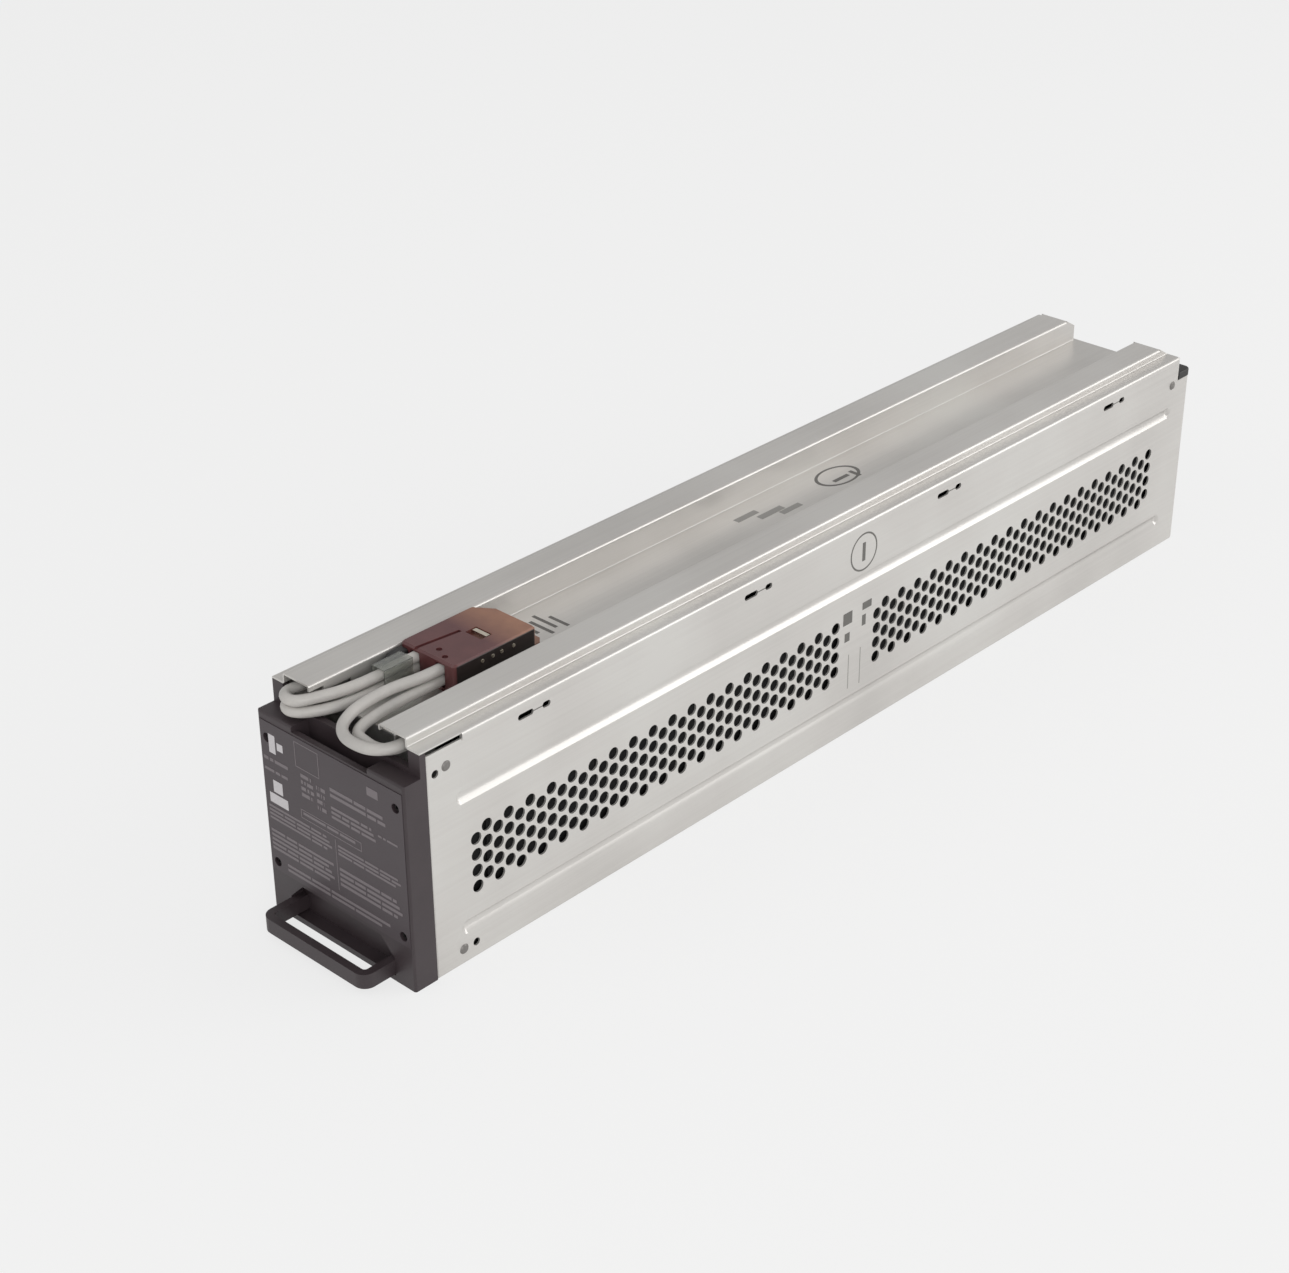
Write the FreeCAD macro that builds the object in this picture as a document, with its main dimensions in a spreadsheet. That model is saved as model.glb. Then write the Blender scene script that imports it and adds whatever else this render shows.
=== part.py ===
import FreeCAD, Part
import math
import os
import re

import Sketcher
from FreeCAD import Placement, Rotation, Vector

# Battery cartridge of a rack UPS: one slide-in tray of eight sealed 12 V blocks.
# Millimetres.  X runs across the tray, Y from the bezel to the rear, Z up from the base.
# Every piece is drawn with Y = 0 at the front edge of the sheet-metal case and is then set
# forward by its Placement, so the origin of the part lies under the middle of its outline.

os.makedirs("parts", exist_ok=True)
doc = FreeCAD.newDocument("BatteryCartridge")

SIZES = {
    # sheet-metal case
    "case_width": 98.0, "case_length": 600.0, "side_height": 120.0, "sheet": 1.0,
    "fold_radius": 4.0, "bend": 1.6, "front_flange": 10.5, "rear_flange": 14.0,
    "front_drop": 2.4, "front_drop_length": 21.0,
    "rear_step_length": 13.5, "rear_step_height": 106.0,
    # stiffening grooves pressed into both sides
    "groove_width": 7.2, "groove_depth": 1.7, "groove_slope": 52.0, "groove_low": 19.0, "groove_high": 88.0,
    "groove_start": 16.0, "groove_rear_gap": 19.0,
    # vents: two fields of staggered punches in each side
    "vent_size": 6.2, "vent_pitch": 6.78, "vent_rise": 8.5, "vent_columns": 38,
    "vent_start": 26.9, "vent_field_step": 284.5, "vent_low": 37.5,
    # lanced slots that the cover's hooks sit in
    "lance_start": 55.0, "lance_step": 151.8, "lance_height": 112.6, "lance_long": 9.6,
    "lance_short": 5.0, "lance_tall": 3.0, "lance_bridge": 5.6, "lance_count": 4,
    # hat-section cover
    "ledge_width": 7.7, "rail_width": 18.2, "rail_rise": 4.8, "channel_depth": 14.1,
    "cover_overhang": 3.4, "lip_height": 3.0, "lip_sheet": 0.8, "rail_slope": 8.0,
    # bezel
    "bezel_depth": 13.4, "bezel_height": 108.2, "bezel_wall": 3.0, "rear_wall": 3.4,
    "notch_width": 51.0, "notch_drop": 2.8, "trough_floor": 95.0, "bezel_fit": 0.2,
    "screw_across": 86.6, "screw_low": 28.2, "screw_high": 95.6, "screw_bore": 2.4,
    "screw_head": 3.8,
    # pull handle and the finger scoop above it
    "grip_reach": 32.0, "grip_width": 72.0, "grip_bar": 4.2, "grip_low": 4.0,
    "grip_tall": 7.7, "grip_corner": 6.0, "scoop_depth": 7.0, "scoop_low": 3.0,
    "scoop_high": 21.5, "scoop_chamfer": 9.0,
    # label film
    "film": 0.3, "film_low": 23.5, "film_margin": 1.2,
    # sealed blocks
    "block_long": 90.0, "block_wide": 70.0, "block_tall": 101.0, "block_count": 8,
    "block_fit": 0.3, "stack_gap": 1.4, "bulkhead_back": 22.0, "tab_inset_x": 12.0, "tab_inset_y": 12.0, "tab_rise": 6.0,
    "tab_width": 6.35, "tab_sheet": 0.8,
    # links between blocks
    "link_width": 8.0, "link_sheet": 2.4, "bar_sheet": 2.5, "fuse_length": 40.0,
    "fuse_width": 14.0, "foam_width": 40.0,
    # rivets
    "rivet_shank": 3.2, "rivet_head": 5.2, "rivet_rise": 0.9,
    # two-pole connector
    "shell_long": 51.5, "shell_wide": 36.5, "shell_tall": 15.7, "shell_start": 50.0,
    "shell_left": 22.4, "tongue_long": 6.0, "tongue_tall": 5.6, "pole_gap": 16.8,
    "port_width": 6.2, "port_tall": 11.9, "socket_wide": 13.0, "socket_tall": 7.6,
    "socket_long": 17.0,
    # leads
    "lead_size": 5.5, "sleeve_wall": 0.5,
}

sheet = doc.addObject("Spreadsheet::Sheet", "dims")
for row, (alias, number) in enumerate(SIZES.items(), start=1):
    sheet.set(f"A{row}", alias)
    sheet.set(f"B{row}", str(number))
    sheet.setAlias(f"B{row}", alias)
doc.recompute()


def value(expression):
    """The number that an expression in the sheet's words comes to."""
    return float(sheet.evalExpression(str(expression)))


def bind(target, prop, expression):
    """Tie a property to the sheet; words that the sheet knows get its prefix."""
    tied = re.sub(r"[a-z_]+", lambda m: "dims." + m[0] if m[0] in SIZES else m[0], str(expression))
    target.setExpression(prop, tied)


# Lines and planes that several pieces share, in the sheet's own words.
HALF = "(case_width / 2)"
INNER = "(case_width / 2 - sheet)"
LEDGE_TOP = "(side_height + sheet)"
RAIL_TOP = "(side_height + sheet + rail_rise)"
FLOOR_TOP = "(side_height + sheet + rail_rise - channel_depth)"
FLOOR_UNDER = "(side_height + rail_rise - channel_depth)"
RAIL_OUT = "(case_width / 2 - ledge_width)"
RAIL_IN = "(case_width / 2 - ledge_width - rail_width)"
COVER_END = "(case_length - rear_step_length - 1.5)"
STACK_START = "(case_length - 2 * sheet - stack_gap - block_count * block_wide)"
BLOCK_TOP = "(sheet + block_tall)"
TAB_TOP = "(sheet + block_tall + tab_rise)"
TAB_X = "(block_long / 2 - tab_inset_x)"
SET_FORWARD = "-(case_length + rivet_rise - grip_reach) / 2"


def body(name):
    """A new piece, seated on the shared origin."""
    piece = doc.addObject("PartDesign::Body", name)
    piece.Label = name
    return piece


def sketch(piece, plane, name, offset="0"):
    """A sketch on one of the piece's own origin planes, moved along its normal."""
    drawing = piece.newObject("Sketcher::SketchObject", name)
    support = [item for item in piece.Origin.OriginFeatures if item.Role == plane][0]
    drawing.AttachmentSupport = [(support, "")]
    drawing.MapMode = "FlatFace"
    drawing.AttachmentOffset = Placement(Vector(0, 0, value(offset)), Rotation())
    bind(drawing, "AttachmentOffset.Base.z", offset)
    return drawing


def pin(drawing, geometry, point, across, along):
    """Tie one point of a sketch to the sketch origin."""
    for kind, expression in (("DistanceX", across), ("DistanceY", along)):
        rule = Sketcher.Constraint(kind, -1, 1, geometry, point, value(expression))
        bind(drawing, f"Constraints[{drawing.addConstraint(rule)}]", expression)


def outline(drawing, points):
    """A closed run of straight lines through (across, along) points."""
    spots = [Vector(value(a), value(b), 0) for a, b in points]
    first = drawing.GeometryCount
    count = len(points)
    for index in range(count):
        drawing.addGeometry(Part.LineSegment(spots[index], spots[(index + 1) % count]), False)
    for index in range(count):
        following = first + (index + 1) % count
        drawing.addConstraint(Sketcher.Constraint("Coincident", first + index, 2, following, 1))
    for index, (across, along) in enumerate(points):
        pin(drawing, first + index, 1, across, along)


def box_outline(drawing, left, right, low, high):
    outline(drawing, [(left, low), (right, low), (right, high), (left, high)])


def circle(drawing, across, along, diameter):
    spot = Vector(value(across), value(along), 0)
    ring = Part.Circle(spot, Vector(0, 0, 1), value(diameter) / 2)
    index = drawing.addGeometry(ring, False)
    pin(drawing, index, 3, across, along)
    rule = Sketcher.Constraint("Diameter", index, value(diameter))
    bind(drawing, f"Constraints[{drawing.addConstraint(rule)}]", diameter)


def slot(drawing, left, right, along, width):
    """A round-ended slot along the sketch's first axis; left and right are its arc centres."""
    radius = value(width) / 2
    a, b, c = value(left), value(right), value(along)
    up = Vector(0, 0, 1)
    first = drawing.GeometryCount
    near = Part.Circle(Vector(a, c, 0), up, radius)
    far = Part.Circle(Vector(b, c, 0), up, radius)
    drawing.addGeometry(Part.LineSegment(Vector(a, c + radius, 0), Vector(b, c + radius, 0)), False)
    drawing.addGeometry(Part.ArcOfCircle(far, -math.pi / 2, math.pi / 2), False)
    drawing.addGeometry(Part.LineSegment(Vector(b, c - radius, 0), Vector(a, c - radius, 0)), False)
    drawing.addGeometry(Part.ArcOfCircle(near, math.pi / 2, 3 * math.pi / 2), False)
    top, right_arc, bottom, left_arc = range(first, first + 4)
    joints = [(top, 2, right_arc, 2), (bottom, 1, right_arc, 1), (bottom, 2, left_arc, 2), (top, 1, left_arc, 1)]
    for joint in joints:
        drawing.addConstraint(Sketcher.Constraint("Tangent", *joint))
    drawing.addConstraint(Sketcher.Constraint("Equal", right_arc, left_arc))
    pin(drawing, right_arc, 3, right, along)
    pin(drawing, left_arc, 3, left, along)
    rule = Sketcher.Constraint("Diameter", right_arc, 2 * radius)
    bind(drawing, f"Constraints[{drawing.addConstraint(rule)}]", width)


def feature(piece, kind, drawing, length, side="One side", reverse=False, through=False):
    """A Pad or Pocket of one sketch."""
    made = piece.newObject("PartDesign::" + kind, drawing.Name + "_" + kind.lower())
    made.Profile = drawing
    made.SideType = side
    made.Reversed = reverse
    if through:
        made.Type = "ThroughAll"
    else:
        made.Length = value(length)
        bind(made, "Length", length)
    drawing.Visibility = False
    return made


def pad(piece, drawing, length, **options):
    return feature(piece, "Pad", drawing, length, **options)


def pocket(piece, drawing, length="1", **options):
    return feature(piece, "Pocket", drawing, length, **options)


def along_y(piece, originals, name, step, count):
    """Repeat features along Y."""
    pattern = piece.newObject("PartDesign::LinearPattern", name)
    pattern.Originals = originals
    axis = [item for item in piece.Origin.OriginFeatures if item.Role == "Y_Axis"][0]
    pattern.Direction = (axis, [""])
    pattern.Mode = "Spacing"
    bind(pattern, "Offset", step)
    bind(pattern, "Occurrences", count)
    piece.Tip = pattern
    return pattern


def mirror_x(piece, originals, name):
    """Repeat features on the other side of the YZ plane."""
    mirror = piece.newObject("PartDesign::Mirrored", name)
    mirror.Originals = originals
    plane = [item for item in piece.Origin.OriginFeatures if item.Role == "YZ_Plane"][0]
    mirror.MirrorPlane = (plane, [""])
    piece.Tip = mirror
    return mirror


def round_edges(piece, base, wanted, radius, name, kind="Fillet"):
    """Fillet or chamfer the edges of a feature that wanted() picks."""
    doc.recompute()
    picked = [f"Edge{i}" for i, edge in enumerate(base.Shape.Edges, start=1) if wanted(edge)]
    if not picked:
        raise RuntimeError(name + " finds no edge")
    made = piece.newObject("PartDesign::" + kind, name)
    made.Base = (base, picked)
    prop = "Radius" if kind == "Fillet" else "Size"
    setattr(made, prop, value(radius))
    bind(made, prop, radius)
    piece.Tip = made
    return made


def runs_along(edge, axis):
    """True for a straight edge along one axis, 0 for X, 1 for Y, 2 for Z."""
    if not isinstance(edge.Curve, Part.Line):
        return False
    direction = edge.Curve.Direction
    return abs((direction.x, direction.y, direction.z)[axis]) > 0.999


def at(edge, x=None, y=None, z=None, slack=0.05):
    """True where every point named of an edge's middle is met; x is taken without its sign."""
    middle = edge.valueAt((edge.FirstParameter + edge.LastParameter) / 2)
    tests = ((x, abs(middle.x)), (y, middle.y), (z, middle.z))
    return all(want is None or abs(value(want) - have) < slack for want, have in tests)


def case_tray():
    """One folded sheet: base, two perforated sides and narrow flanges at both ends."""
    tray = body("folded_tray")
    plan = sketch(tray, "XY_Plane", "tray_plan")
    box_outline(plan, f"-{HALF}", HALF, "0", "case_length")
    pad(tray, plan, "side_height")
    hollow = sketch(tray, "XY_Plane", "tray_hollow", "side_height")
    box_outline(hollow, f"-{INNER}", INNER, "sheet", "case_length - sheet")
    emptied = pocket(tray, hollow, "side_height - sheet")
    inside = round_edges(tray, emptied,
                         lambda e: runs_along(e, 2) and at(e, x=INNER, y="case_length - sheet"),
                         "fold_radius - sheet", "rear_folds_inside")
    folded = round_edges(tray, inside, lambda e: runs_along(e, 2) and at(e, x=HALF, y="case_length"),
                         "fold_radius", "rear_folds")
    round_edges(tray, folded, lambda e: (runs_along(e, 1) and at(e, x=HALF, z="0"))
                or (runs_along(e, 2) and at(e, x=HALF, y="0")), "bend - sheet / 2", "base_bends")

    front = sketch(tray, "XZ_Plane", "front_opening", "-sheet * 2")
    box_outline(front, f"-{HALF} + front_flange", f"{HALF} - front_flange", "sheet", "side_height + 1")
    pocket(tray, front, "sheet * 3", reverse=True)
    rear = sketch(tray, "XZ_Plane", "rear_opening", "-(case_length + 1)")
    box_outline(rear, f"-{HALF} + rear_flange", f"{HALF} - rear_flange", "rear_flange", "side_height + 1")
    pocket(tray, rear, "sheet * 2 + 1", reverse=True)

    # The top edge drops at the front, and steps down at the rear for the corner bumpers.
    edge = sketch(tray, "YZ_Plane", "top_edge")
    box_outline(edge, "-1", "front_drop_length", "side_height - front_drop", "side_height + 1")
    box_outline(edge, "case_length - rear_step_length", "case_length + 1", "rear_step_height", "side_height + 1")
    pocket(tray, edge, side="Symmetric", through=True)

    # Grooves are pressed inwards: a sloped bead on the inner face, then the same form from outside.
    bead = sketch(tray, "YZ_Plane", "groove_bead", INNER)
    press = sketch(tray, "YZ_Plane", "groove_press", HALF)
    start = "(groove_start + groove_width / 2)"
    end = "(case_length - groove_rear_gap - groove_width / 2)"
    for drawing in (bead, press):
        for height in ("groove_low", "groove_high"):
            slot(drawing, start, end, height, "groove_width")
    raised = pad(tray, bead, "groove_depth", reverse=True)
    pressed = pocket(tray, press, "groove_depth")
    for pressing in (raised, pressed):
        pressing.TaperAngle = -value("groove_slope")
        bind(pressing, "TaperAngle", "-groove_slope")
    mirror_x(tray, [raised, pressed], "grooves_both_sides")

    # Lanced slot pairs under the top edge.
    lances = sketch(tray, "YZ_Plane", "lance_pair")
    radius = "lance_tall / 2"
    long_end = "(lance_start + lance_long)"
    short_start = "(lance_start + lance_long + lance_bridge)"
    slot(lances, f"(lance_start + {radius})", f"({long_end} - {radius})", "lance_height", "lance_tall")
    slot(lances, f"({short_start} + {radius})", f"({short_start} + lance_short - {radius})",
         "lance_height", "lance_tall")
    lanced = pocket(tray, lances, side="Symmetric", through=True)
    along_y(tray, [lanced], "lances", "lance_step", "lance_count")

    holes = sketch(tray, "YZ_Plane", "side_holes")
    for across, along in (FRONT_HOLE, LOW_HOLE):
        circle(holes, across, along, "rivet_shank + 0.8")
    for across, along in SIDE_RIVETS:
        circle(holes, across, along, "rivet_shank")
    pocket(tray, holes, side="Symmetric", through=True)

    threads = sketch(tray, "XZ_Plane", "flange_holes", "-sheet * 2")
    for side in ("-", ""):
        for height in ("screw_low", "screw_high"):
            circle(threads, f"{side}screw_across / 2", height, "screw_bore")
    pocket(tray, threads, "sheet * 3", reverse=True)
    rear_holes = sketch(tray, "XZ_Plane", "rear_rivet_holes", "-(case_length + 1)")
    for side in ("-", ""):
        for height in REAR_RIVETS:
            circle(rear_holes, f"{side}{REAR_RIVET_X}", height, "rivet_shank")
    pocket(tray, rear_holes, "sheet * 2 + 1", reverse=True)

    perforated = doc.addObject("Part::Cut", "case_tray")
    perforated.Label = "case_tray"
    perforated.Base = tray
    perforated.Tool = vent_punches()
    return perforated


def vent_punches():
    """Staggered punches of both vent fields, each right through the tray from side to side."""
    half, step, rise = value("vent_size / 2"), value("vent_pitch"), value("vent_rise")
    through = value("case_width + 2")
    tools = []
    for field in range(2):
        for column in range(int(value("vent_columns"))):
            for level in range(4):
                y = value("vent_start") + field * value("vent_field_step") + column * step
                z = value("vent_low") + (level + column % 2 / 2) * rise
                # Four corners stand for a round punch, so that 608 holes stay light.
                corners = [Vector(0, y - half, z), Vector(0, y, z - half), Vector(0, y + half, z),
                           Vector(0, y, z + half)]
                tools.append(Part.Face(Part.makePolygon(corners + corners[:1])).extrude(Vector(through, 0, 0)))
    punches = doc.addObject("Part::Feature", "vent_punches")
    punches.Shape = Part.makeCompound(tools)
    punches.Placement = Placement(Vector(-through / 2, 0, 0), Rotation())
    return punches


FRONT_HOLE = ("4.9", "side_height - 13.2")
LOW_HOLE = ("24.3", "8.2")
SIDE_RIVETS = [("11.4", "side_height - 11.8"), ("16.6", "8.2"), ("case_length - 19", "rear_step_height - 1.5")]
REAR_RIVETS = ["20", "88"]
REAR_RIVET_X = "(case_width / 2 - 9)"


def top_cover():
    """Folded hat-section lid: two raised rails with a channel between them."""
    cover = body("top_cover")
    lip = f"({HALF} + lip_sheet)"
    lip_low = "(side_height - lip_height)"
    # The skin, outer line first, then the inner line back.
    outer = [(lip, lip_low), (lip, LEDGE_TOP), (RAIL_OUT, LEDGE_TOP), (RAIL_OUT, RAIL_TOP),
             (RAIL_IN, RAIL_TOP), (RAIL_IN, FLOOR_TOP)]
    inner = [(HALF, lip_low), (HALF, "side_height"), (f"({RAIL_OUT} - sheet)", "side_height"),
             (f"({RAIL_OUT} - sheet)", f"({RAIL_TOP} - sheet)"), (f"({RAIL_IN} + sheet)", f"({RAIL_TOP} - sheet)"),
             (f"({RAIL_IN} + sheet)", FLOOR_UNDER)]
    mirrored = [(f"-{x}", z) for x, z in reversed(outer)]
    mirrored_inner = [(f"-{x}", z) for x, z in inner]
    section = sketch(cover, "XZ_Plane", "hat_section", "cover_overhang")
    outline(section, outer + mirrored + mirrored_inner + list(reversed(inner)))
    skin = pad(cover, section, f"{COVER_END} + cover_overhang", reverse=True)
    convex = [(lip, LEDGE_TOP), (RAIL_OUT, RAIL_TOP), (RAIL_IN, RAIL_TOP), (f"{RAIL_OUT} - sheet", "side_height"),
              (f"{RAIL_IN} + sheet", FLOOR_UNDER)]
    hollow = [(f"{RAIL_OUT} - sheet", f"{RAIL_TOP} - sheet"),
              (f"{RAIL_IN} + sheet", f"{RAIL_TOP} - sheet"), (RAIL_OUT, LEDGE_TOP), (RAIL_IN, FLOOR_TOP)]
    outer_bends = round_edges(cover, skin, lambda e: runs_along(e, 1) and any(at(e, x=x, z=z) for x, z in convex),
                              "bend", "outer_bends")
    round_edges(cover, outer_bends, lambda e: runs_along(e, 1) and any(at(e, x=x, z=z) for x, z in hollow),
                "bend - sheet", "inner_bends")

    # The lips start behind the lowered front of the sides.
    trim = sketch(cover, "YZ_Plane", "lip_trim")
    box_outline(trim, "-cover_overhang - 1", "front_drop_length", f"{lip_low} - 1", "side_height")
    pocket(cover, trim, side="Symmetric", through=True)
    ledge_trim = sketch(cover, "XY_Plane", "ledge_trim", "side_height - 1")
    for side in ("-", ""):
        box_outline(ledge_trim, f"{side}{HALF}", f"{side}({lip} + 1)", "-cover_overhang - 1", "front_drop_length")
    pocket(cover, ledge_trim, "sheet + 3", reverse=True)

    # At the front the floor stops short and the inner walls are notched, so the leads pass through.
    notch = sketch(cover, "YZ_Plane", "lead_notch")
    outline(notch, [("-cover_overhang - 1", f"{FLOOR_UNDER} - 1"), ("10", f"{FLOOR_UNDER} - 1"), ("10", f"{FLOOR_TOP} + 1.5"),
                    ("5", f"{FLOOR_TOP} + 1.5"), ("5", f"{RAIL_TOP} - 3.2"), ("-cover_overhang - 1", f"{RAIL_TOP} - 3.2")])
    pocket(cover, notch, f"2 * ({RAIL_IN} + sheet + 0.6)", side="Symmetric")

    # Behind, each rail slopes down to the ledge and is closed by an end wall.
    slope = sketch(cover, "YZ_Plane", "rail_slope")
    outline(slope, [(f"{COVER_END} - rail_slope", RAIL_TOP), (f"{COVER_END} + 1", f"{LEDGE_TOP} - rail_rise / rail_slope"),
                    (f"{COVER_END} + 1", f"{RAIL_TOP} + 1"), (f"{COVER_END} - rail_slope", f"{RAIL_TOP} + 1")])
    pocket(cover, slope, side="Symmetric", through=True)
    cap = sketch(cover, "YZ_Plane", "rail_cap", RAIL_IN)
    outline(cap, [(f"{COVER_END} - rail_slope", RAIL_TOP), (COVER_END, LEDGE_TOP), (COVER_END, FLOOR_UNDER),
                  (f"{COVER_END} - sheet", FLOOR_UNDER), (f"{COVER_END} - sheet", f"{LEDGE_TOP} - sheet"),
                  (f"{COVER_END} - rail_slope", f"{RAIL_TOP} - sheet")])
    closed = pad(cover, cap, "rail_width")
    mirror_x(cover, [closed], "rail_caps")
    return cover


def rear_panel():
    """Formed sheet that closes the rear: a wall, a shelf for the bumpers and a riser to the cover."""
    panel = body("rear_panel")
    wall = "(case_length - sheet)"
    riser = "(case_length - rear_step_length)"
    section = sketch(panel, "YZ_Plane", "rear_section", f"-({HALF} - fold_radius - 0.3)")
    outline(section, [
        (wall, "sheet"), (wall, "rear_step_height"), (f"{riser}", "rear_step_height"),
        (f"{riser}", f"{FLOOR_UNDER} - 0.3"), (f"{riser} - sheet", f"{FLOOR_UNDER} - 0.3"),
        (f"{riser} - sheet", "rear_step_height - sheet"), (f"{wall} - sheet", "rear_step_height - sheet"),
        (f"{wall} - sheet", "sheet")])
    pad(panel, section, f"2 * ({HALF} - fold_radius - 0.3)")
    # Ears reach out to the sides, where a rivet holds each one.
    reach = sketch(panel, "XY_Plane", "ear_reach", "rear_step_height - sheet")
    box_outline(reach, f"{HALF} - fold_radius - 1", INNER, f"{riser} - sheet", f"{riser} + 3.5")
    ear = sketch(panel, "YZ_Plane", "ear", f"{INNER} - sheet")
    box_outline(ear, f"{riser} - 12.5", f"{riser} + 3.5", "rear_step_height - 7", "rear_step_height")
    ears = [pad(panel, reach, "sheet"), pad(panel, ear, "sheet")]
    mirror_x(panel, ears, "both_ears")
    ear_holes = sketch(panel, "YZ_Plane", "ear_holes")
    circle(ear_holes, SIDE_RIVETS[2][0], SIDE_RIVETS[2][1], "rivet_shank")
    pocket(panel, ear_holes, side="Symmetric", through=True)
    holes = sketch(panel, "XZ_Plane", "rear_panel_holes", "-(case_length + 1)")
    for side in ("-", ""):
        for height in REAR_RIVETS:
            circle(holes, f"{side}{REAR_RIVET_X}", height, "rivet_shank")
    pocket(panel, holes, "sheet * 2 + 2", reverse=True)
    return panel


def front_bulkhead():
    """Folded stop behind the bezel, riveted to the sides; foam takes up the room behind it."""
    stop = body("front_bulkhead")
    top = f"({FLOOR_UNDER} + 0.7)"
    plan = sketch(stop, "XY_Plane", "bulkhead_plan", "sheet")
    web = "bulkhead_back"
    outline(plan, [(f"-{INNER}", "8"), (f"-{INNER} + sheet", "8"), (f"-{INNER} + sheet", f"{web} - sheet"),
                   (f"{INNER} - sheet", f"{web} - sheet"), (f"{INNER} - sheet", "8"), (INNER, "8"),
                   (INNER, web), (f"-{INNER}", web)])
    pad(stop, plan, f"{top} - sheet")
    # The web stays under the channel floor, and the sides make room for their grooves.
    relief = sketch(stop, "XZ_Plane", "bulkhead_relief", "1")
    box_outline(relief, f"-{INNER} + sheet", f"{INNER} - sheet", f"{BLOCK_TOP} + 2", "side_height + 1")
    for side in ("-", ""):
        for height in ("groove_low", "groove_high"):
            box_outline(relief, f"{side}({INNER} + 1)", f"{side}({INNER} - groove_depth - 0.4)",
                        f"{height} - groove_width / 2 - 0.4", f"{height} + groove_width / 2 + 0.4")
    pocket(stop, relief, f"{web} + 2")
    holes = sketch(stop, "YZ_Plane", "bulkhead_holes")
    for across, along in SIDE_RIVETS[:2]:
        circle(holes, across, along, "rivet_shank")
    pocket(stop, holes, side="Symmetric", through=True)
    return stop


def rear_bumper(name, sign):
    """Moulded corner block that sits in the rear step of one side."""
    bumper = body(name)
    plan = sketch(bumper, "XY_Plane", name + "_plan", "rear_step_height")
    near, far = "(case_length - rear_step_length + 1.6)", "(case_length + 0.4)"
    edges = (f"{sign}({HALF} - 0.2)", f"{sign}({HALF} - 10)")
    box_outline(plan, edges[0], edges[1], near, far)
    block = pad(bumper, plan, "4.2")
    corner = round_edges(bumper, block, lambda e: runs_along(e, 2) and at(e, x=f"{HALF} - 0.2", y=far),
                         "fold_radius - 0.5", name + "_corner")
    round_edges(bumper, corner, lambda e: at(e, z="rear_step_height + 4.2"), "1", name + "_round")
    return bumper


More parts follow.
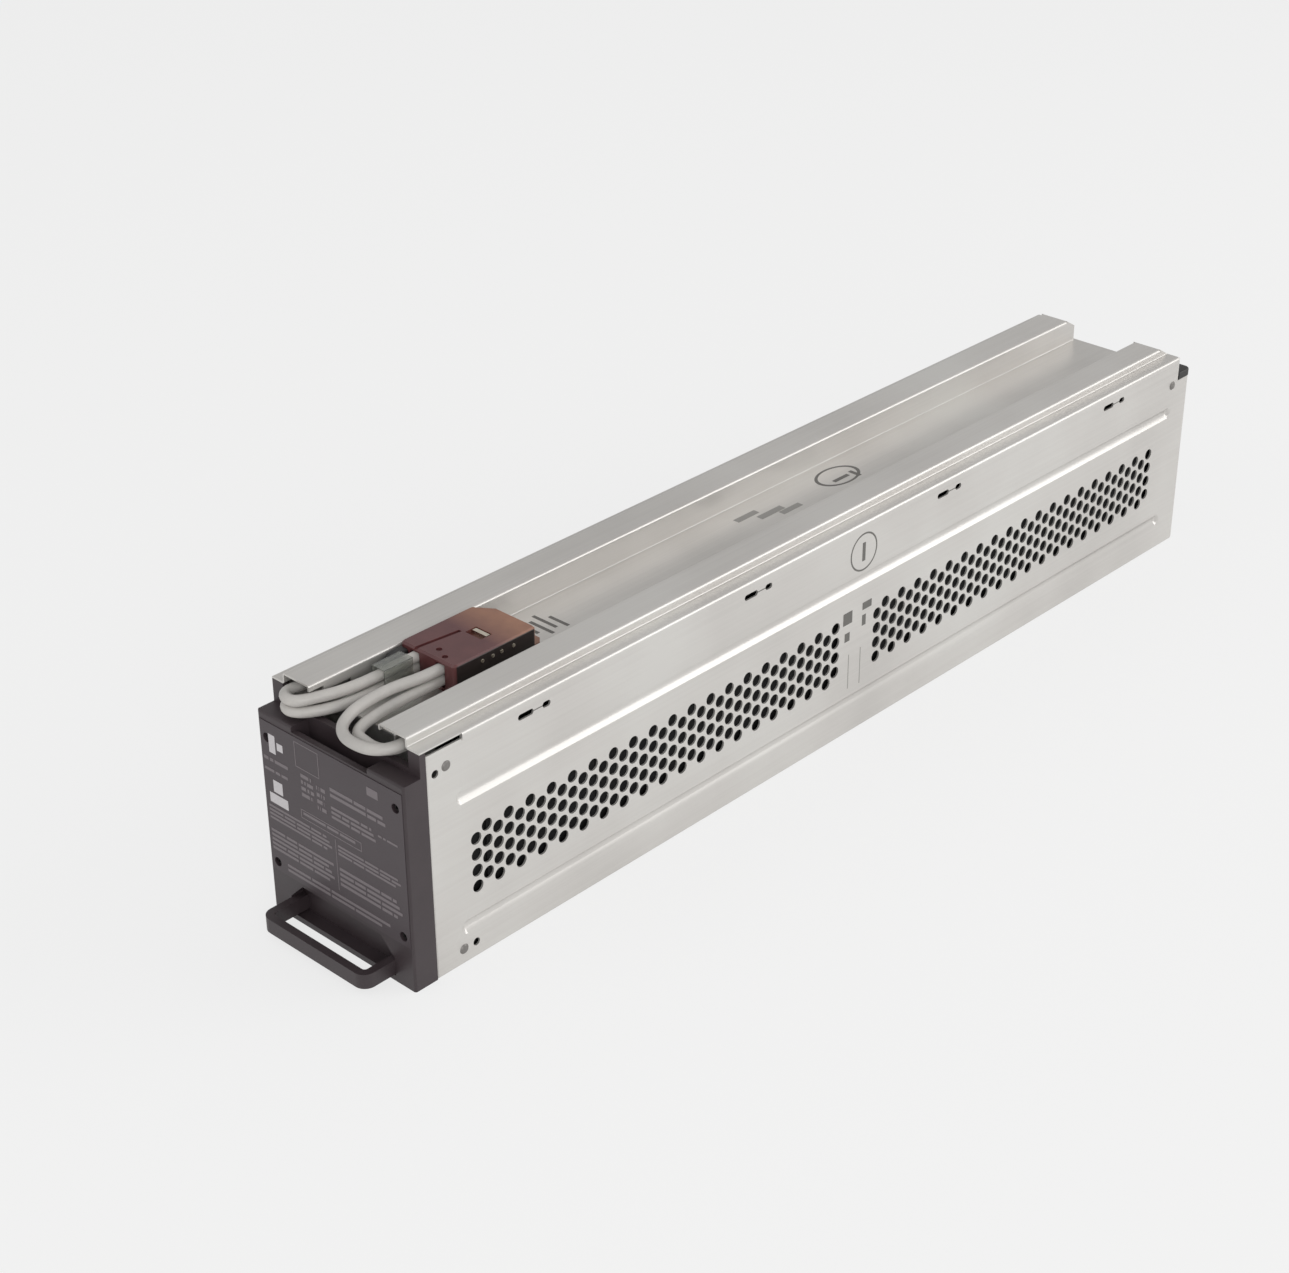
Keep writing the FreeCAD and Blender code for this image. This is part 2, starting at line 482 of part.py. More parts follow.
def front_bezel():
    """One moulding: face plate, lead trough, cheeks, finger scoop and a fixed pull handle."""
    bezel = body("front_bezel")
    face = sketch(bezel, "XZ_Plane", "face_outline")
    box_outline(face, f"-{HALF}", HALF, "0", "bezel_height")
    plate = pad(bezel, face, "bezel_depth")

    # Behind the face a wall rises to the cover, and its cheeks close the sides up to the ledge.
    cheek = sketch(bezel, "XZ_Plane", "rear_wall_outline")
    low_top, high_top = f"({FLOOR_UNDER} - bezel_fit)", "(side_height - bezel_fit)"
    cheek_in = f"({RAIL_OUT} + 0.4)"
    outline(cheek, [(f"-{HALF}", "bezel_height - 20"), (HALF, "bezel_height - 20"), (HALF, high_top),
                    (cheek_in, high_top), (cheek_in, low_top), (f"-{cheek_in}", low_top),
                    (f"-{cheek_in}", high_top), (f"-{HALF}", high_top)])
    pad(bezel, cheek, "rear_wall")

    trough = sketch(bezel, "XY_Plane", "lead_trough", "bezel_height + 1")
    box_outline(trough, "-notch_width / 2", "notch_width / 2", "-bezel_depth + bezel_wall", "-rear_wall")
    pocket(bezel, trough, "bezel_height + 1 - trough_floor")
    notch = sketch(bezel, "XZ_Plane", "face_notch", "bezel_depth + 1")
    box_outline(notch, "-notch_width / 2", "notch_width / 2", "bezel_height - notch_drop", "bezel_height + 1")
    pocket(bezel, notch, "bezel_wall + 1.5")

    # Moulded hollows behind the face, with ribs left between them.
    cores = sketch(bezel, "XZ_Plane", "core_outs", "-1")
    core_half = "(screw_across / 2 - 6.5)"
    rib = "1.25"
    box_outline(cores, f"-{core_half}", f"-{core_half} / 3 - {rib}", "scoop_high + 4", "trough_floor - 3")
    box_outline(cores, f"-{core_half} / 3 + {rib}", f"{core_half} / 3 - {rib}", "scoop_high + 4", "trough_floor - 3")
    box_outline(cores, f"{core_half} / 3 + {rib}", core_half, "scoop_high + 4", "trough_floor - 3")
    pocket(bezel, cores, "bezel_depth - bezel_wall + 1", reverse=True)

    scoop = sketch(bezel, "XZ_Plane", "finger_scoop", "bezel_depth + 1")
    wide = "(grip_width / 2)"
    outline(scoop, [(f"-{wide}", "scoop_low"), (wide, "scoop_low"), (wide, "scoop_high - scoop_chamfer"),
                    (f"{wide} - scoop_chamfer", "scoop_high"), (f"-{wide} + scoop_chamfer", "scoop_high"),
                    (f"-{wide}", "scoop_high - scoop_chamfer")])
    scooped = pocket(bezel, scoop, "scoop_depth + 1")
    doc.recompute()

    grip = sketch(bezel, "XY_Plane", "grip_plan", "grip_low")
    inner_wide = "(grip_width / 2 - grip_bar)"
    outline(grip, [(f"-{wide}", "-bezel_depth + scoop_depth"), (f"-{wide}", "-grip_reach"), (wide, "-grip_reach"),
                   (wide, "-bezel_depth + scoop_depth"), (inner_wide, "-bezel_depth + scoop_depth"),
                   (inner_wide, "-grip_reach + grip_bar"), (f"-{inner_wide}", "-grip_reach + grip_bar"),
                   (f"-{inner_wide}", "-bezel_depth + scoop_depth")])
    bar = pad(bezel, grip, "grip_tall")
    outer = round_edges(bezel, bar, lambda e: runs_along(e, 2) and at(e, x=wide, y="-grip_reach"),
                        "grip_corner", "grip_corners")
    inside = round_edges(bezel, outer, lambda e: runs_along(e, 2) and at(e, x=inner_wide, y="-grip_reach + grip_bar"),
                         "grip_corner - grip_bar", "grip_corners_inside")
    soft = round_edges(bezel, inside, lambda e: at(e, y="-bezel_depth", x=HALF) or (
        runs_along(e, 0) and at(e, y="-bezel_depth", z="bezel_height")), "1.2", "face_edges")

    screws = sketch(bezel, "XZ_Plane", "screw_holes", "bezel_depth + 1")
    heads = sketch(bezel, "XZ_Plane", "screw_seats", "bezel_depth + 1")
    for side in ("-", ""):
        for height in ("screw_low", "screw_high"):
            circle(screws, f"{side}screw_across / 2", height, "screw_bore + 0.4")
            circle(heads, f"{side}screw_across / 2", height, "screw_head + 0.8")
    pocket(bezel, screws, "bezel_depth + 2")
    pocket(bezel, heads, "3.4")
    return bezel


def bezel_label():
    """Film on the face, with its print left off and holes for the screws."""
    label = body("bezel_label")
    face = sketch(label, "XZ_Plane", "label_outline", "bezel_depth")
    wide = f"({HALF} - film_margin)"
    box_outline(face, f"-{wide}", wide, "film_low", "bezel_height - notch_drop - film_margin")
    for side in ("-", ""):
        for height in ("screw_low", "screw_high"):
            circle(face, f"{side}screw_across / 2", height, "screw_head + 1.0")
    pad(label, face, "film")
    return label


def revolved(profile):
    """A turned piece about its own Y axis from (radius, along) points, as a plain solid."""
    points = [Vector(value(r), value(y), 0) for r, y in profile]
    face = Part.Face(Part.makePolygon(points + points[:1]))
    return face.revolve(Vector(0, 0, 0), Vector(0, 1, 0), 360)


def settled(name, shape):
    """A piece whose form Part's own functions make, set on the shared origin."""
    piece = doc.addObject("Part::Feature", name)
    piece.Label = name
    piece.Shape = shape
    return piece


def bezel_screws():
    """Four pan-head screws through the bezel into the case flanges."""
    head, rise = "screw_head / 2", "1.6"
    seat = "(-bezel_depth + 2.4)"
    profile = [("0", f"{seat} - {rise} + 0.9"), ("0.8", f"{seat} - {rise} + 0.9"), ("0.8", f"{seat} - {rise}"),
               (f"{head} - 0.5", f"{seat} - {rise}"), (head, f"{seat} - {rise} + 0.5"), (head, seat),
               ("screw_bore / 2 - 0.1", seat), ("screw_bore / 2 - 0.1", "sheet + 3"), ("0", "sheet + 3")]
    screw = revolved(profile)
    solids = []
    for side in (-1, 1):
        for height in ("screw_low", "screw_high"):
            copy = screw.copy()
            copy.translate(Vector(side * value("screw_across / 2"), 0, value(height)))
            solids.append(copy)
    return settled("bezel_screws", Part.makeCompound(solids))


def rivet(grip):
    """Dome-headed rivet along +X: its head rises from x = 0, its shank goes back through the sheets."""
    head, shank, rise = value("rivet_head / 2"), value("rivet_shank / 2 - 0.05"), value("rivet_rise")
    tail = shank * 1.3
    half = [(0, -grip - 1.0), (tail, -grip - 1.0), (tail, -grip), (shank, -grip), (shank, 0),
            (head, 0), (head * 0.72, rise * 0.75), (0, rise)]
    turned = revolved(half)
    turned.rotate(Vector(0, 0, 0), Vector(0, 0, 1), -90)
    return turned


def case_rivets():
    """Every rivet of the case: the bulkhead's and the cover's at the sides, the panel's at the rear."""
    solids = []
    for sign in (-1, 1):
        for across, along in SIDE_RIVETS:
            one = rivet(value("2 * sheet"))
            if sign < 0:
                one.rotate(Vector(0, 0, 0), Vector(0, 0, 1), 180)
            one.translate(Vector(sign * value(HALF), value(across), value(along)))
            solids.append(one)
        for height in REAR_RIVETS:
            one = rivet(value("2 * sheet"))
            one.rotate(Vector(0, 0, 0), Vector(0, 0, 1), 90)
            one.translate(Vector(sign * value(REAR_RIVET_X), value("case_length"), value(height)))
            solids.append(one)
    return settled("case_rivets", Part.makeCompound(solids))


def block_front(index):
    """Where a block starts along the case."""
    return f"({STACK_START} + {index} * block_wide)"


def tab_along(index):
    """Blocks stand turned about by turns, so their tabs come at the rear, then at the front."""
    place = "block_wide - tab_inset_y" if index % 2 == 0 else "tab_inset_y"
    return f"({block_front(index)} + {place})"


def battery(index):
    """A sealed block: jar, lid with a stepped edge and two wells for the tabs."""
    name = f"battery_{index + 1}"
    block = body(name)
    plan = sketch(block, "XY_Plane", name + "_plan", "sheet")
    near, far = f"({block_front(index)} + 0.15)", f"({block_front(index + 1)} - 0.15)"
    box_outline(plan, "-block_long / 2", "block_long / 2", near, far)
    jar = pad(block, plan, "block_tall - 8")
    lid_plan = sketch(block, "XY_Plane", name + "_lid", f"{BLOCK_TOP} - 8")
    box_outline(lid_plan, "-block_long / 2 + 0.8", "block_long / 2 - 0.8", f"{near} + 0.8", f"{far} - 0.8")
    pad(block, lid_plan, "8")
    return block


def battery_tabs():
    """Blade tabs that stand on the blocks."""
    solids = []
    for index in range(int(value("block_count"))):
        for side in (-1, 1):
            tab = Part.makeBox(value("tab_sheet"), value("tab_width"), value("tab_rise"))
            tab.translate(Vector(side * value(TAB_X) - value("tab_sheet") / 2,
                                 value(tab_along(index)) - value("tab_width") / 2, value(BLOCK_TOP)))
            solids.append(tab)
    return settled("battery_tabs", Part.makeCompound(solids))


def link(points, width, thick, low):
    """A flat insulated link that follows (x, y) points, resting at one height."""
    strip = None
    for start, end in zip(points, points[1:]):
        run = Vector(end[0] - start[0], end[1] - start[1], 0)
        half = width / 2
        plan = Part.makeBox(run.Length + width, width, thick, Vector(-half, -half, 0))
        plan.rotate(Vector(0, 0, 0), Vector(0, 0, 1), math.degrees(math.atan2(run.y, run.x)))
        plan.translate(Vector(start[0], start[1], low))
        strip = plan if strip is None else strip.fuse(plan)
    return strip.removeSplitter()


def series_links():
    """Links from tab to tab; they lie in the rails and meet at the fuse in the middle of the string."""
    x, low = value(TAB_X), value(TAB_TOP)
    width, thick = value("link_width"), value("link_sheet")
    along = [value(tab_along(i)) for i in range(int(value("block_count")))]
    middle = value(FUSE_ALONG)
    solids = []
    for first in range(len(along) - 1):
        if first == FUSE_AFTER:
            continue
        side = (1 if first % 2 == 0 else -1) * (1 if first < FUSE_AFTER else -1)
        solids.append(link([(side * x, along[first]), (side * x, along[first + 1])], width, thick, low))
    reach = value("fuse_length / 2 + 0.3") + width / 2
    solids.append(link([(-x, along[FUSE_AFTER]), (-x, middle), (-reach, middle)], width, thick, low))
    solids.append(link([(reach, middle), (x, middle), (x, along[FUSE_AFTER + 1])], width, thick, low))
    return settled("series_links", Part.makeCompound(solids))


FUSE_AFTER = 3
FUSE_ALONG = f"({STACK_START} + 4 * block_wide)"


def string_fuse():
    """Boxed fuse across the middle of the string, between the two halves of the foam."""
    fuse = body("string_fuse")
    plan = sketch(fuse, "XY_Plane", "fuse_plan", BLOCK_TOP)
    box_outline(plan, "-fuse_length / 2", "fuse_length / 2", f"{FUSE_ALONG} - fuse_width / 2",
                f"{FUSE_ALONG} + fuse_width / 2")
    case = pad(fuse, plan, f"{FLOOR_UNDER} - {BLOCK_TOP} - 0.3")
    round_edges(fuse, case, lambda e: runs_along(e, 2), "2", "fuse_corners")
    return fuse


def foam_pads():
    """Foam strips between the blocks and the channel floor, and a pad ahead of the first block."""
    half, low = value("foam_width / 2"), value(BLOCK_TOP)
    gap = value("fuse_width / 2 + 6")
    middle, start = value(FUSE_ALONG), value(STACK_START)
    pads = []
    for near, far in ((start + 12, middle - gap), (middle + gap, value(COVER_END) - 12)):
        pads.append(Part.makeBox(2 * half, far - near, value(FLOOR_UNDER) - low, Vector(-half, near, low)))
    ahead, wide = value("bulkhead_back"), value("block_long / 2 - 1")
    pads.append(Part.makeBox(2 * wide, start + 0.15 - ahead, low - 4, Vector(-wide, ahead, value("sheet"))))
    return settled("foam_pads", Part.makeCompound(pads))


def return_bar():
    """Insulated bar that brings the last block's tab forward along the right rail."""
    low = "(side_height - 6.6)"
    bar = body("return_bar")
    last = tab_along(int(value("block_count")) - 1)
    front = f"({STACK_START} + 20)"
    section = sketch(bar, "YZ_Plane", "return_section", f"{TAB_X} - 4")
    outline(section, [(front, low), (f"{last} - 3", low), (f"{last} - 3", TAB_TOP), (f"{last} + 3", TAB_TOP),
                      (f"{last} + 3", f"{low} + bar_sheet"), (front, f"{low} + bar_sheet")])
    pad(bar, section, "8")
    return bar


SHELL_MID = "(shell_wide / 2 - shell_left)"
SHELL_END = "(shell_start + shell_long)"
POLES = [f"({SHELL_MID} - pole_gap / 2)", f"({SHELL_MID} + pole_gap / 2)"]
PORT_LOW = f"({FLOOR_TOP} + (shell_tall - port_tall) / 2)"
SOCKET_LOW = f"({FLOOR_TOP} + tongue_tall)"


def connector_housing():
    """Two-pole housing that lies in the channel: lead ports, open sockets over a tongue, latch window."""
    shell = body("connector_housing")
    left, right = "-shell_left", "(shell_wide - shell_left)"
    plan = sketch(shell, "XY_Plane", "shell_plan", FLOOR_TOP)
    outline(plan, [(left, "shell_start"), (right, "shell_start"), (right, SHELL_END),
                   (f"{left} + 10", SHELL_END), (left, f"{SHELL_END} - 7")])
    block = pad(shell, plan, "shell_tall")
    round_edges(shell, block, lambda e: runs_along(e, 2), "2.4", "shell_corners")
    tongue = sketch(shell, "XY_Plane", "tongue_plan", FLOOR_TOP)
    far = f"({SHELL_END} + tongue_long)"
    outline(tongue, [(f"{left} + 10", f"{SHELL_END} - 3"), (f"{right} - 1.5", f"{SHELL_END} - 3"),
                     (f"{right} - 1.5", f"{far} - 3"), (f"{right} - 4.5", far), (f"{left} + 8", far),
                     (f"{left} + 5", f"{far} - 3"), (f"{left} + 5", f"{SHELL_END} - 3")])
    lower = pad(shell, tongue, "tongue_tall")
    round_edges(shell, lower, lambda e: at(e, z=f"{FLOOR_TOP} + shell_tall"), "1", "shell_top_edges", "Chamfer")

    sockets = sketch(shell, "XZ_Plane", "sockets", f"-({SHELL_END} + tongue_long + 1)")
    ports = sketch(shell, "XZ_Plane", "lead_ports", "-(shell_start - 1)")
    blades = sketch(shell, "XZ_Plane", "blade_ways", f"-({SHELL_END})")
    for pole in POLES:
        box_outline(sockets, f"{pole} - socket_wide / 2", f"{pole} + socket_wide / 2",
                    SOCKET_LOW, f"{SOCKET_LOW} + socket_tall")
        box_outline(ports, f"{pole} - port_width / 2", f"{pole} + port_width / 2",
                    PORT_LOW, f"{PORT_LOW} + port_tall")
        box_outline(blades, f"{pole} - 4.8", f"{pole} + 4.8", SOCKET_LOW, f"{SOCKET_LOW} + 2.8")
    pocket(shell, sockets, "socket_long + tongue_long + 1", reverse=True)
    pocket(shell, blades, "shell_long - 18", reverse=True)
    pocket(shell, ports, "21")

    window = sketch(shell, "XY_Plane", "latch_window", f"{FLOOR_TOP} + shell_tall + 1")
    box_outline(window, "-6.2", "4.4", "shell_start + 25.5", "shell_start + 32.5")
    pocket(shell, window, "3.2")
    groove = sketch(shell, "XY_Plane", "top_groove", f"{FLOOR_TOP} + shell_tall + 1")
    outline(groove, [(f"{left} + 9.4", "shell_start - 1"), (f"{left} + 11.4", "shell_start - 1"),
                     (f"{left} + 14.6", "shell_start + 25"), (f"{left} + 12.6", "shell_start + 25")])
    for across, along in (("-3.0", "6.5"), ("4.0", "3.6")):
        circle(groove, across, f"shell_start + {along}", "3")
    pocket(shell, groove, "2")
    return shell


def connector_contacts():
    """Crimp barrel and flat blade of each pole, and the latch spring."""
    solids = []
    for pole in POLES:
        middle = value(pole)
        barrel = Part.makeBox(value("port_width") - 0.6, 11.5, value("port_tall") - 0.6)
        barrel.translate(Vector(middle - (value("port_width") - 0.6) / 2, value("shell_start") + LEAD_DEPTH,
                                value(PORT_LOW) + 0.3))
        blade = Part.makeBox(9, value(f"{SHELL_END} + tongue_long - 4") - value("shell_start") - LEAD_DEPTH - 11, 2.4)
        blade.translate(Vector(middle - 4.5, value("shell_start") + LEAD_DEPTH + 11, value(SOCKET_LOW)))
        solids.append(barrel.fuse(blade).removeSplitter())
    # The latch spring shows in the window of the housing.
    latch = Part.makeBox(9.2, 2.4, 2.0)
    latch.translate(Vector(-5.5, value("shell_start") + 29.4, value(f"{FLOOR_TOP} + shell_tall - 2.2")))
    solids.append(latch)
    return settled("connector_contacts", Part.makeCompound(solids))


def cable_clamp():
    """Black clamp beside the leads, at the front of the connector."""
    clamp = body("cable_clamp")
    plan = sketch(clamp, "XY_Plane", "clamp_plan", FLOOR_TOP)
    left, right = "(-shell_left + 0.2)", "(-shell_left + 5.4)"
    box_outline(plan, left, right, "shell_start - 13.5", "shell_start - 0.2")
    block = pad(clamp, plan, "shell_tall - 2.4")
    nose = round_edges(clamp, block, lambda e: runs_along(e, 0) and at(e, y="shell_start - 13.5",
                                                                     z=f"{FLOOR_TOP} + shell_tall - 2.4"),
                       "8", "clamp_nose")
    round_edges(clamp, nose, lambda e: runs_along(e, 1) and at(e, z=f"{FLOOR_TOP} + shell_tall - 2.4"), "1.2",
                "clamp_edges")
    return clamp


LEAD_DEPTH = 8.0

# Lead routes, from the lug in the rail round to the connector.
ROUTES = {
    "lead_left_upper": [
        (-36.8, 80, 118.2), (-36.8, 64, 118.2), (-36.6, 47, 118.4), (-36.0, 30, 118.8), (-35.1, 15, 119.2),
        (-34.5, 3.4, 119.3), (-36.2, -4.8, 119.3), (-34.0, -8.9, 119.3), (-29.6, -10.4, 119.3), (-25.3, -8.5, 119.3),
        (-21.8, -0.7, 119.4), (-18.2, 7.4, 119.7), (-15.2, 17.5, 120.4), (-13.1, 30, 121.5), (-12.65, 44, 122.4),
        (-12.65, 58, 122.4)],
    "lead_left_lower": [
        (-32.8, 80, 114.0), (-32.8, 64, 114.0), (-33.0, 47, 113.8), (-33.6, 30, 113.6), (-34.1, 15, 113.5),
        (-34.5, 3.4, 113.5), (-36.3, -4.4, 113.5), (-34.2, -8.7, 113.5), (-29.6, -10.2, 113.5), (-24.6, -7.6, 113.5),
        (-19.4, -0.6, 113.7), (-15.0, 7.0, 114.5), (-12.5, 16.5, 115.1), (-12.0, 29.5, 115.9), (-12.65, 43.5, 116.7),
        (-12.65, 58, 116.7)],
    "lead_right_upper": [
        (33.4, 44, 119.6), (33.4, 32, 119.6), (34.1, 19.5, 119.0), (34.6, 7.0, 118.3), (33.2, -4.6, 117.4),
        (26.4, -10.6, 116.6), (17.8, -11.8, 116.1), (9.2, -11.4, 116.3), (2.2, -7.0, 117.3), (-1.0, 1.6, 119.1),
        (-1.4, 12.5, 120.6), (0.0, 26, 121.8), (4.15, 41, 122.4), (4.15, 58, 122.4)],
    "lead_right_lower": [
        (33.4, 44, 113.9), (33.4, 32, 113.9), (31.8, 20, 113.7), (30.6, 9.0, 113.5), (29.0, -1.2, 113.5),
        (22.6, -5.4, 113.5), (15.0, -4.6, 113.5), (8.4, -3.6, 113.5), (4.3, 2.6, 114.1), (3.4, 13.5, 115.2),
        (3.4, 27, 116.1), (4.15, 42, 116.7), (4.15, 58, 116.7)],
}


def lead(name, route):
    """A lead: straight runs joined by tangent arcs, each as large as its two runs allow."""
    points = [Vector(*spot) for spot in route]
    edges = []
    radii = []
    start = points[0]
    for before, corner, after in zip(points, points[1:], points[2:]):
        arriving, leaving = corner - before, after - corner
        reach = 0.45 * min(arriving.Length, leaving.Length)
        half_turn = arriving.getAngle(leaving) / 2
        radius = reach / math.tan(half_turn)
        radii.append(radius)
        arriving.normalize()
        leaving.normalize()
        arc_start, arc_end = corner - arriving * reach, corner + leaving * reach
        inward = (leaving - arriving).normalize()
        middle = corner + inward * (radius / math.cos(half_turn) - radius)
        edges.append(Part.LineSegment(start, arc_start).toShape())
        edges.append(Part.Arc(arc_start, middle, arc_end).toShape())
        start = arc_end
    edges.append(Part.LineSegment(start, points[-1]).toShape())
    path = Part.Wire(edges)
    size = value("lead_size")
    ring = Part.Wire(Part.makeCircle(size / 2, points[0], points[1] - points[0]))
    tube = path.makePipeShell([ring], True, False)
    wanted = math.pi * size ** 2 / 4 * path.Length
    print(f"{name}: {path.Length:.1f} mm long, radii {min(radii):.1f} to {max(radii):.0f}, "
          f"volume {tube.Volume / wanted:.4f} of section times length")
    return settled(name, tube)


def prism_x(points, low, high):
    """A prism along X from (along, up) points."""
    corners = [Vector(low, y, z) for y, z in points]
    return Part.Face(Part.makePolygon(corners + corners[:1])).extrude(Vector(high - low, 0, 0))


def lead_lugs():
    """Crimped ends of the leads: one stands on the first block's tab, one lies on the return bar."""
    tab, top = value(tab_along(0)), value(TAB_TOP)
    bar_top = value("side_height - 6.6 + bar_sheet")
    high = value(RAIL_TOP) - value("sheet") - 1.2
    left_end, right_end = ROUTES["lead_left_upper"][0][1], ROUTES["lead_right_upper"][0][1]
    low = 110.9
    foot = [(left_end, low), (left_end, high), (left_end + 9, high), (left_end + 12, low + 2), (tab + 4, top + 3),
            (tab + 4, top), (tab - 4, top), (tab - 4, top + 3), (left_end + 8, low)]
    bar_start = value(f"{STACK_START} + 20")
    palm = [(right_end, low + 0.2), (right_end, high), (right_end + 9, high), (right_end + 12, bar_top + 2.4),
            (bar_start + 12, bar_top + 2.4), (bar_start + 12, bar_top), (bar_start - 1, bar_top),
            (right_end + 10, low + 0.2)]
    reach = value(TAB_X)
    return settled("lead_lugs", Part.makeCompound([prism_x(foot, -reach - 6.6, -reach + 3.8),
                                                   prism_x(palm, reach - 3.8, reach + 4.2)]))


def lead_sleeve():
    """Clear sleeve round the left pair of leads, just ahead of the connector."""
    sleeve = body("lead_sleeve")
    section = sketch(sleeve, "XZ_Plane", "sleeve_section", "-45")
    middle, clear = f"({POLES[0]} + 0.1)", "(lead_size / 2 + 1.1)"
    low, high = f"({FLOOR_TOP} + 0.5)", f"({FLOOR_TOP} + 14.4)"
    for wall in ("sleeve_wall", "0"):
        box_outline(section, f"{middle} - {clear} - {wall}", f"{middle} + {clear} + {wall}",
                    f"{low} + sleeve_wall - {wall}", f"{high} - sleeve_wall + {wall}")
    pad(sleeve, section, "17")
    return sleeve


def build():
    """Make every piece, seat it on the shared origin, check it and write it."""
    pieces = [case_tray(), top_cover(), rear_panel(), front_bulkhead(),
              rear_bumper("rear_bumper_left", "-"), rear_bumper("rear_bumper_right", ""),
              front_bezel(), bezel_label(), bezel_screws(), case_rivets()]
    pieces += [battery(index) for index in range(int(value("block_count")))]
    pieces += [battery_tabs(), series_links(), string_fuse(), foam_pads(), return_bar(),
               connector_housing(), connector_contacts(), cable_clamp(), lead_lugs(), lead_sleeve()]
    pieces += [lead(name, route) for name, route in ROUTES.items()]
    for piece in pieces:
        piece.Placement = Placement(Vector(0, value(SET_FORWARD), 0), Rotation())
        bind(piece, ".Placement.Base.y", SET_FORWARD)
    doc.recompute()

    for item in doc.Objects:
        if "Invalid" in item.State or "Error" in item.State:
            raise RuntimeError(f"{item.Label}: {item.State}")
    shapes = {piece.Label: piece.Shape for piece in pieces}
    for name, shape in shapes.items():
        if shape.isNull() or not shape.isValid() or not shape.Solids:
            raise RuntimeError(name + " has no valid solid")
    for name, shape in shapes.items():
        shape.exportStep(f"parts/{name}.step")
        print(name, len(shape.Solids), "solids", f"{shape.Volume / 1000:.1f} cm3")


build()
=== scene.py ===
import math

import bpy
from mathutils import Matrix, Vector


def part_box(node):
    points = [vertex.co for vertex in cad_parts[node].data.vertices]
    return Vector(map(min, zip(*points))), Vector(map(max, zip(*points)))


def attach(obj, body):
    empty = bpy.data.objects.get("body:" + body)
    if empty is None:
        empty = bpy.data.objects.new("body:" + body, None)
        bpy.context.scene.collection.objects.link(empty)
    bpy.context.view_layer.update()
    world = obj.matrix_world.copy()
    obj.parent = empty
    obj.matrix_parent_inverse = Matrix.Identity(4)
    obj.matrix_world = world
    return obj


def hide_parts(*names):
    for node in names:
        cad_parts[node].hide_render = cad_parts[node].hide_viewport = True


# Battery cartridge of a rack UPS, dressed over its CAD frame. Metres, +Z up, -Y towards the bezel.
# The CAD source has y = 0 at the case's front edge; here that edge lies at caseFront.

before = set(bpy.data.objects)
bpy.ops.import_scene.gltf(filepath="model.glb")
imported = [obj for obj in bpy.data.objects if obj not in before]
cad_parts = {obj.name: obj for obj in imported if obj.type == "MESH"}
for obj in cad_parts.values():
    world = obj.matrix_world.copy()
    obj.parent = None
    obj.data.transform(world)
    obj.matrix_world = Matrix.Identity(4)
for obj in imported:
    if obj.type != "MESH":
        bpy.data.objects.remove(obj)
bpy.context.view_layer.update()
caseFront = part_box("case_tray")[0][1]
print("frame loaded")


def mm(x, y, z):
    # a place in the CAD source's own millimetres
    return Vector((x / 1000, y / 1000 + caseFront, z / 1000))


camera = {
    "place": mm(738.7, -591.0, 678.5),
    "aim": mm(-58.9, 250.4, 33.5),
    "roll": -0.424,         # degrees
    "lens": 69.5,
    "sensor": 36,
    "nearest": 0.05,
    "farthest": 20,
}


def makeCamera():
    data = bpy.data.cameras.new("camera")
    data.sensor_width = camera["sensor"]
    data.lens = camera["lens"]
    data.clip_start = camera["nearest"]
    data.clip_end = camera["farthest"]
    eye = bpy.data.objects.new("camera", data)
    bpy.context.collection.objects.link(eye)
    back = (camera["place"] - camera["aim"]).normalized()
    right = Vector((0, 0, 1)).cross(back).normalized()
    up = back.cross(right)
    roll = math.radians(camera["roll"])
    tilted = right * math.cos(roll) + up * math.sin(roll)
    risen = up * math.cos(roll) - right * math.sin(roll)
    turn = Matrix((tilted, risen, back)).transposed()
    eye.matrix_world = Matrix.Translation(camera["place"]) @ turn.to_4x4()
    bpy.context.scene.camera = eye


makeCamera()
print("camera set")

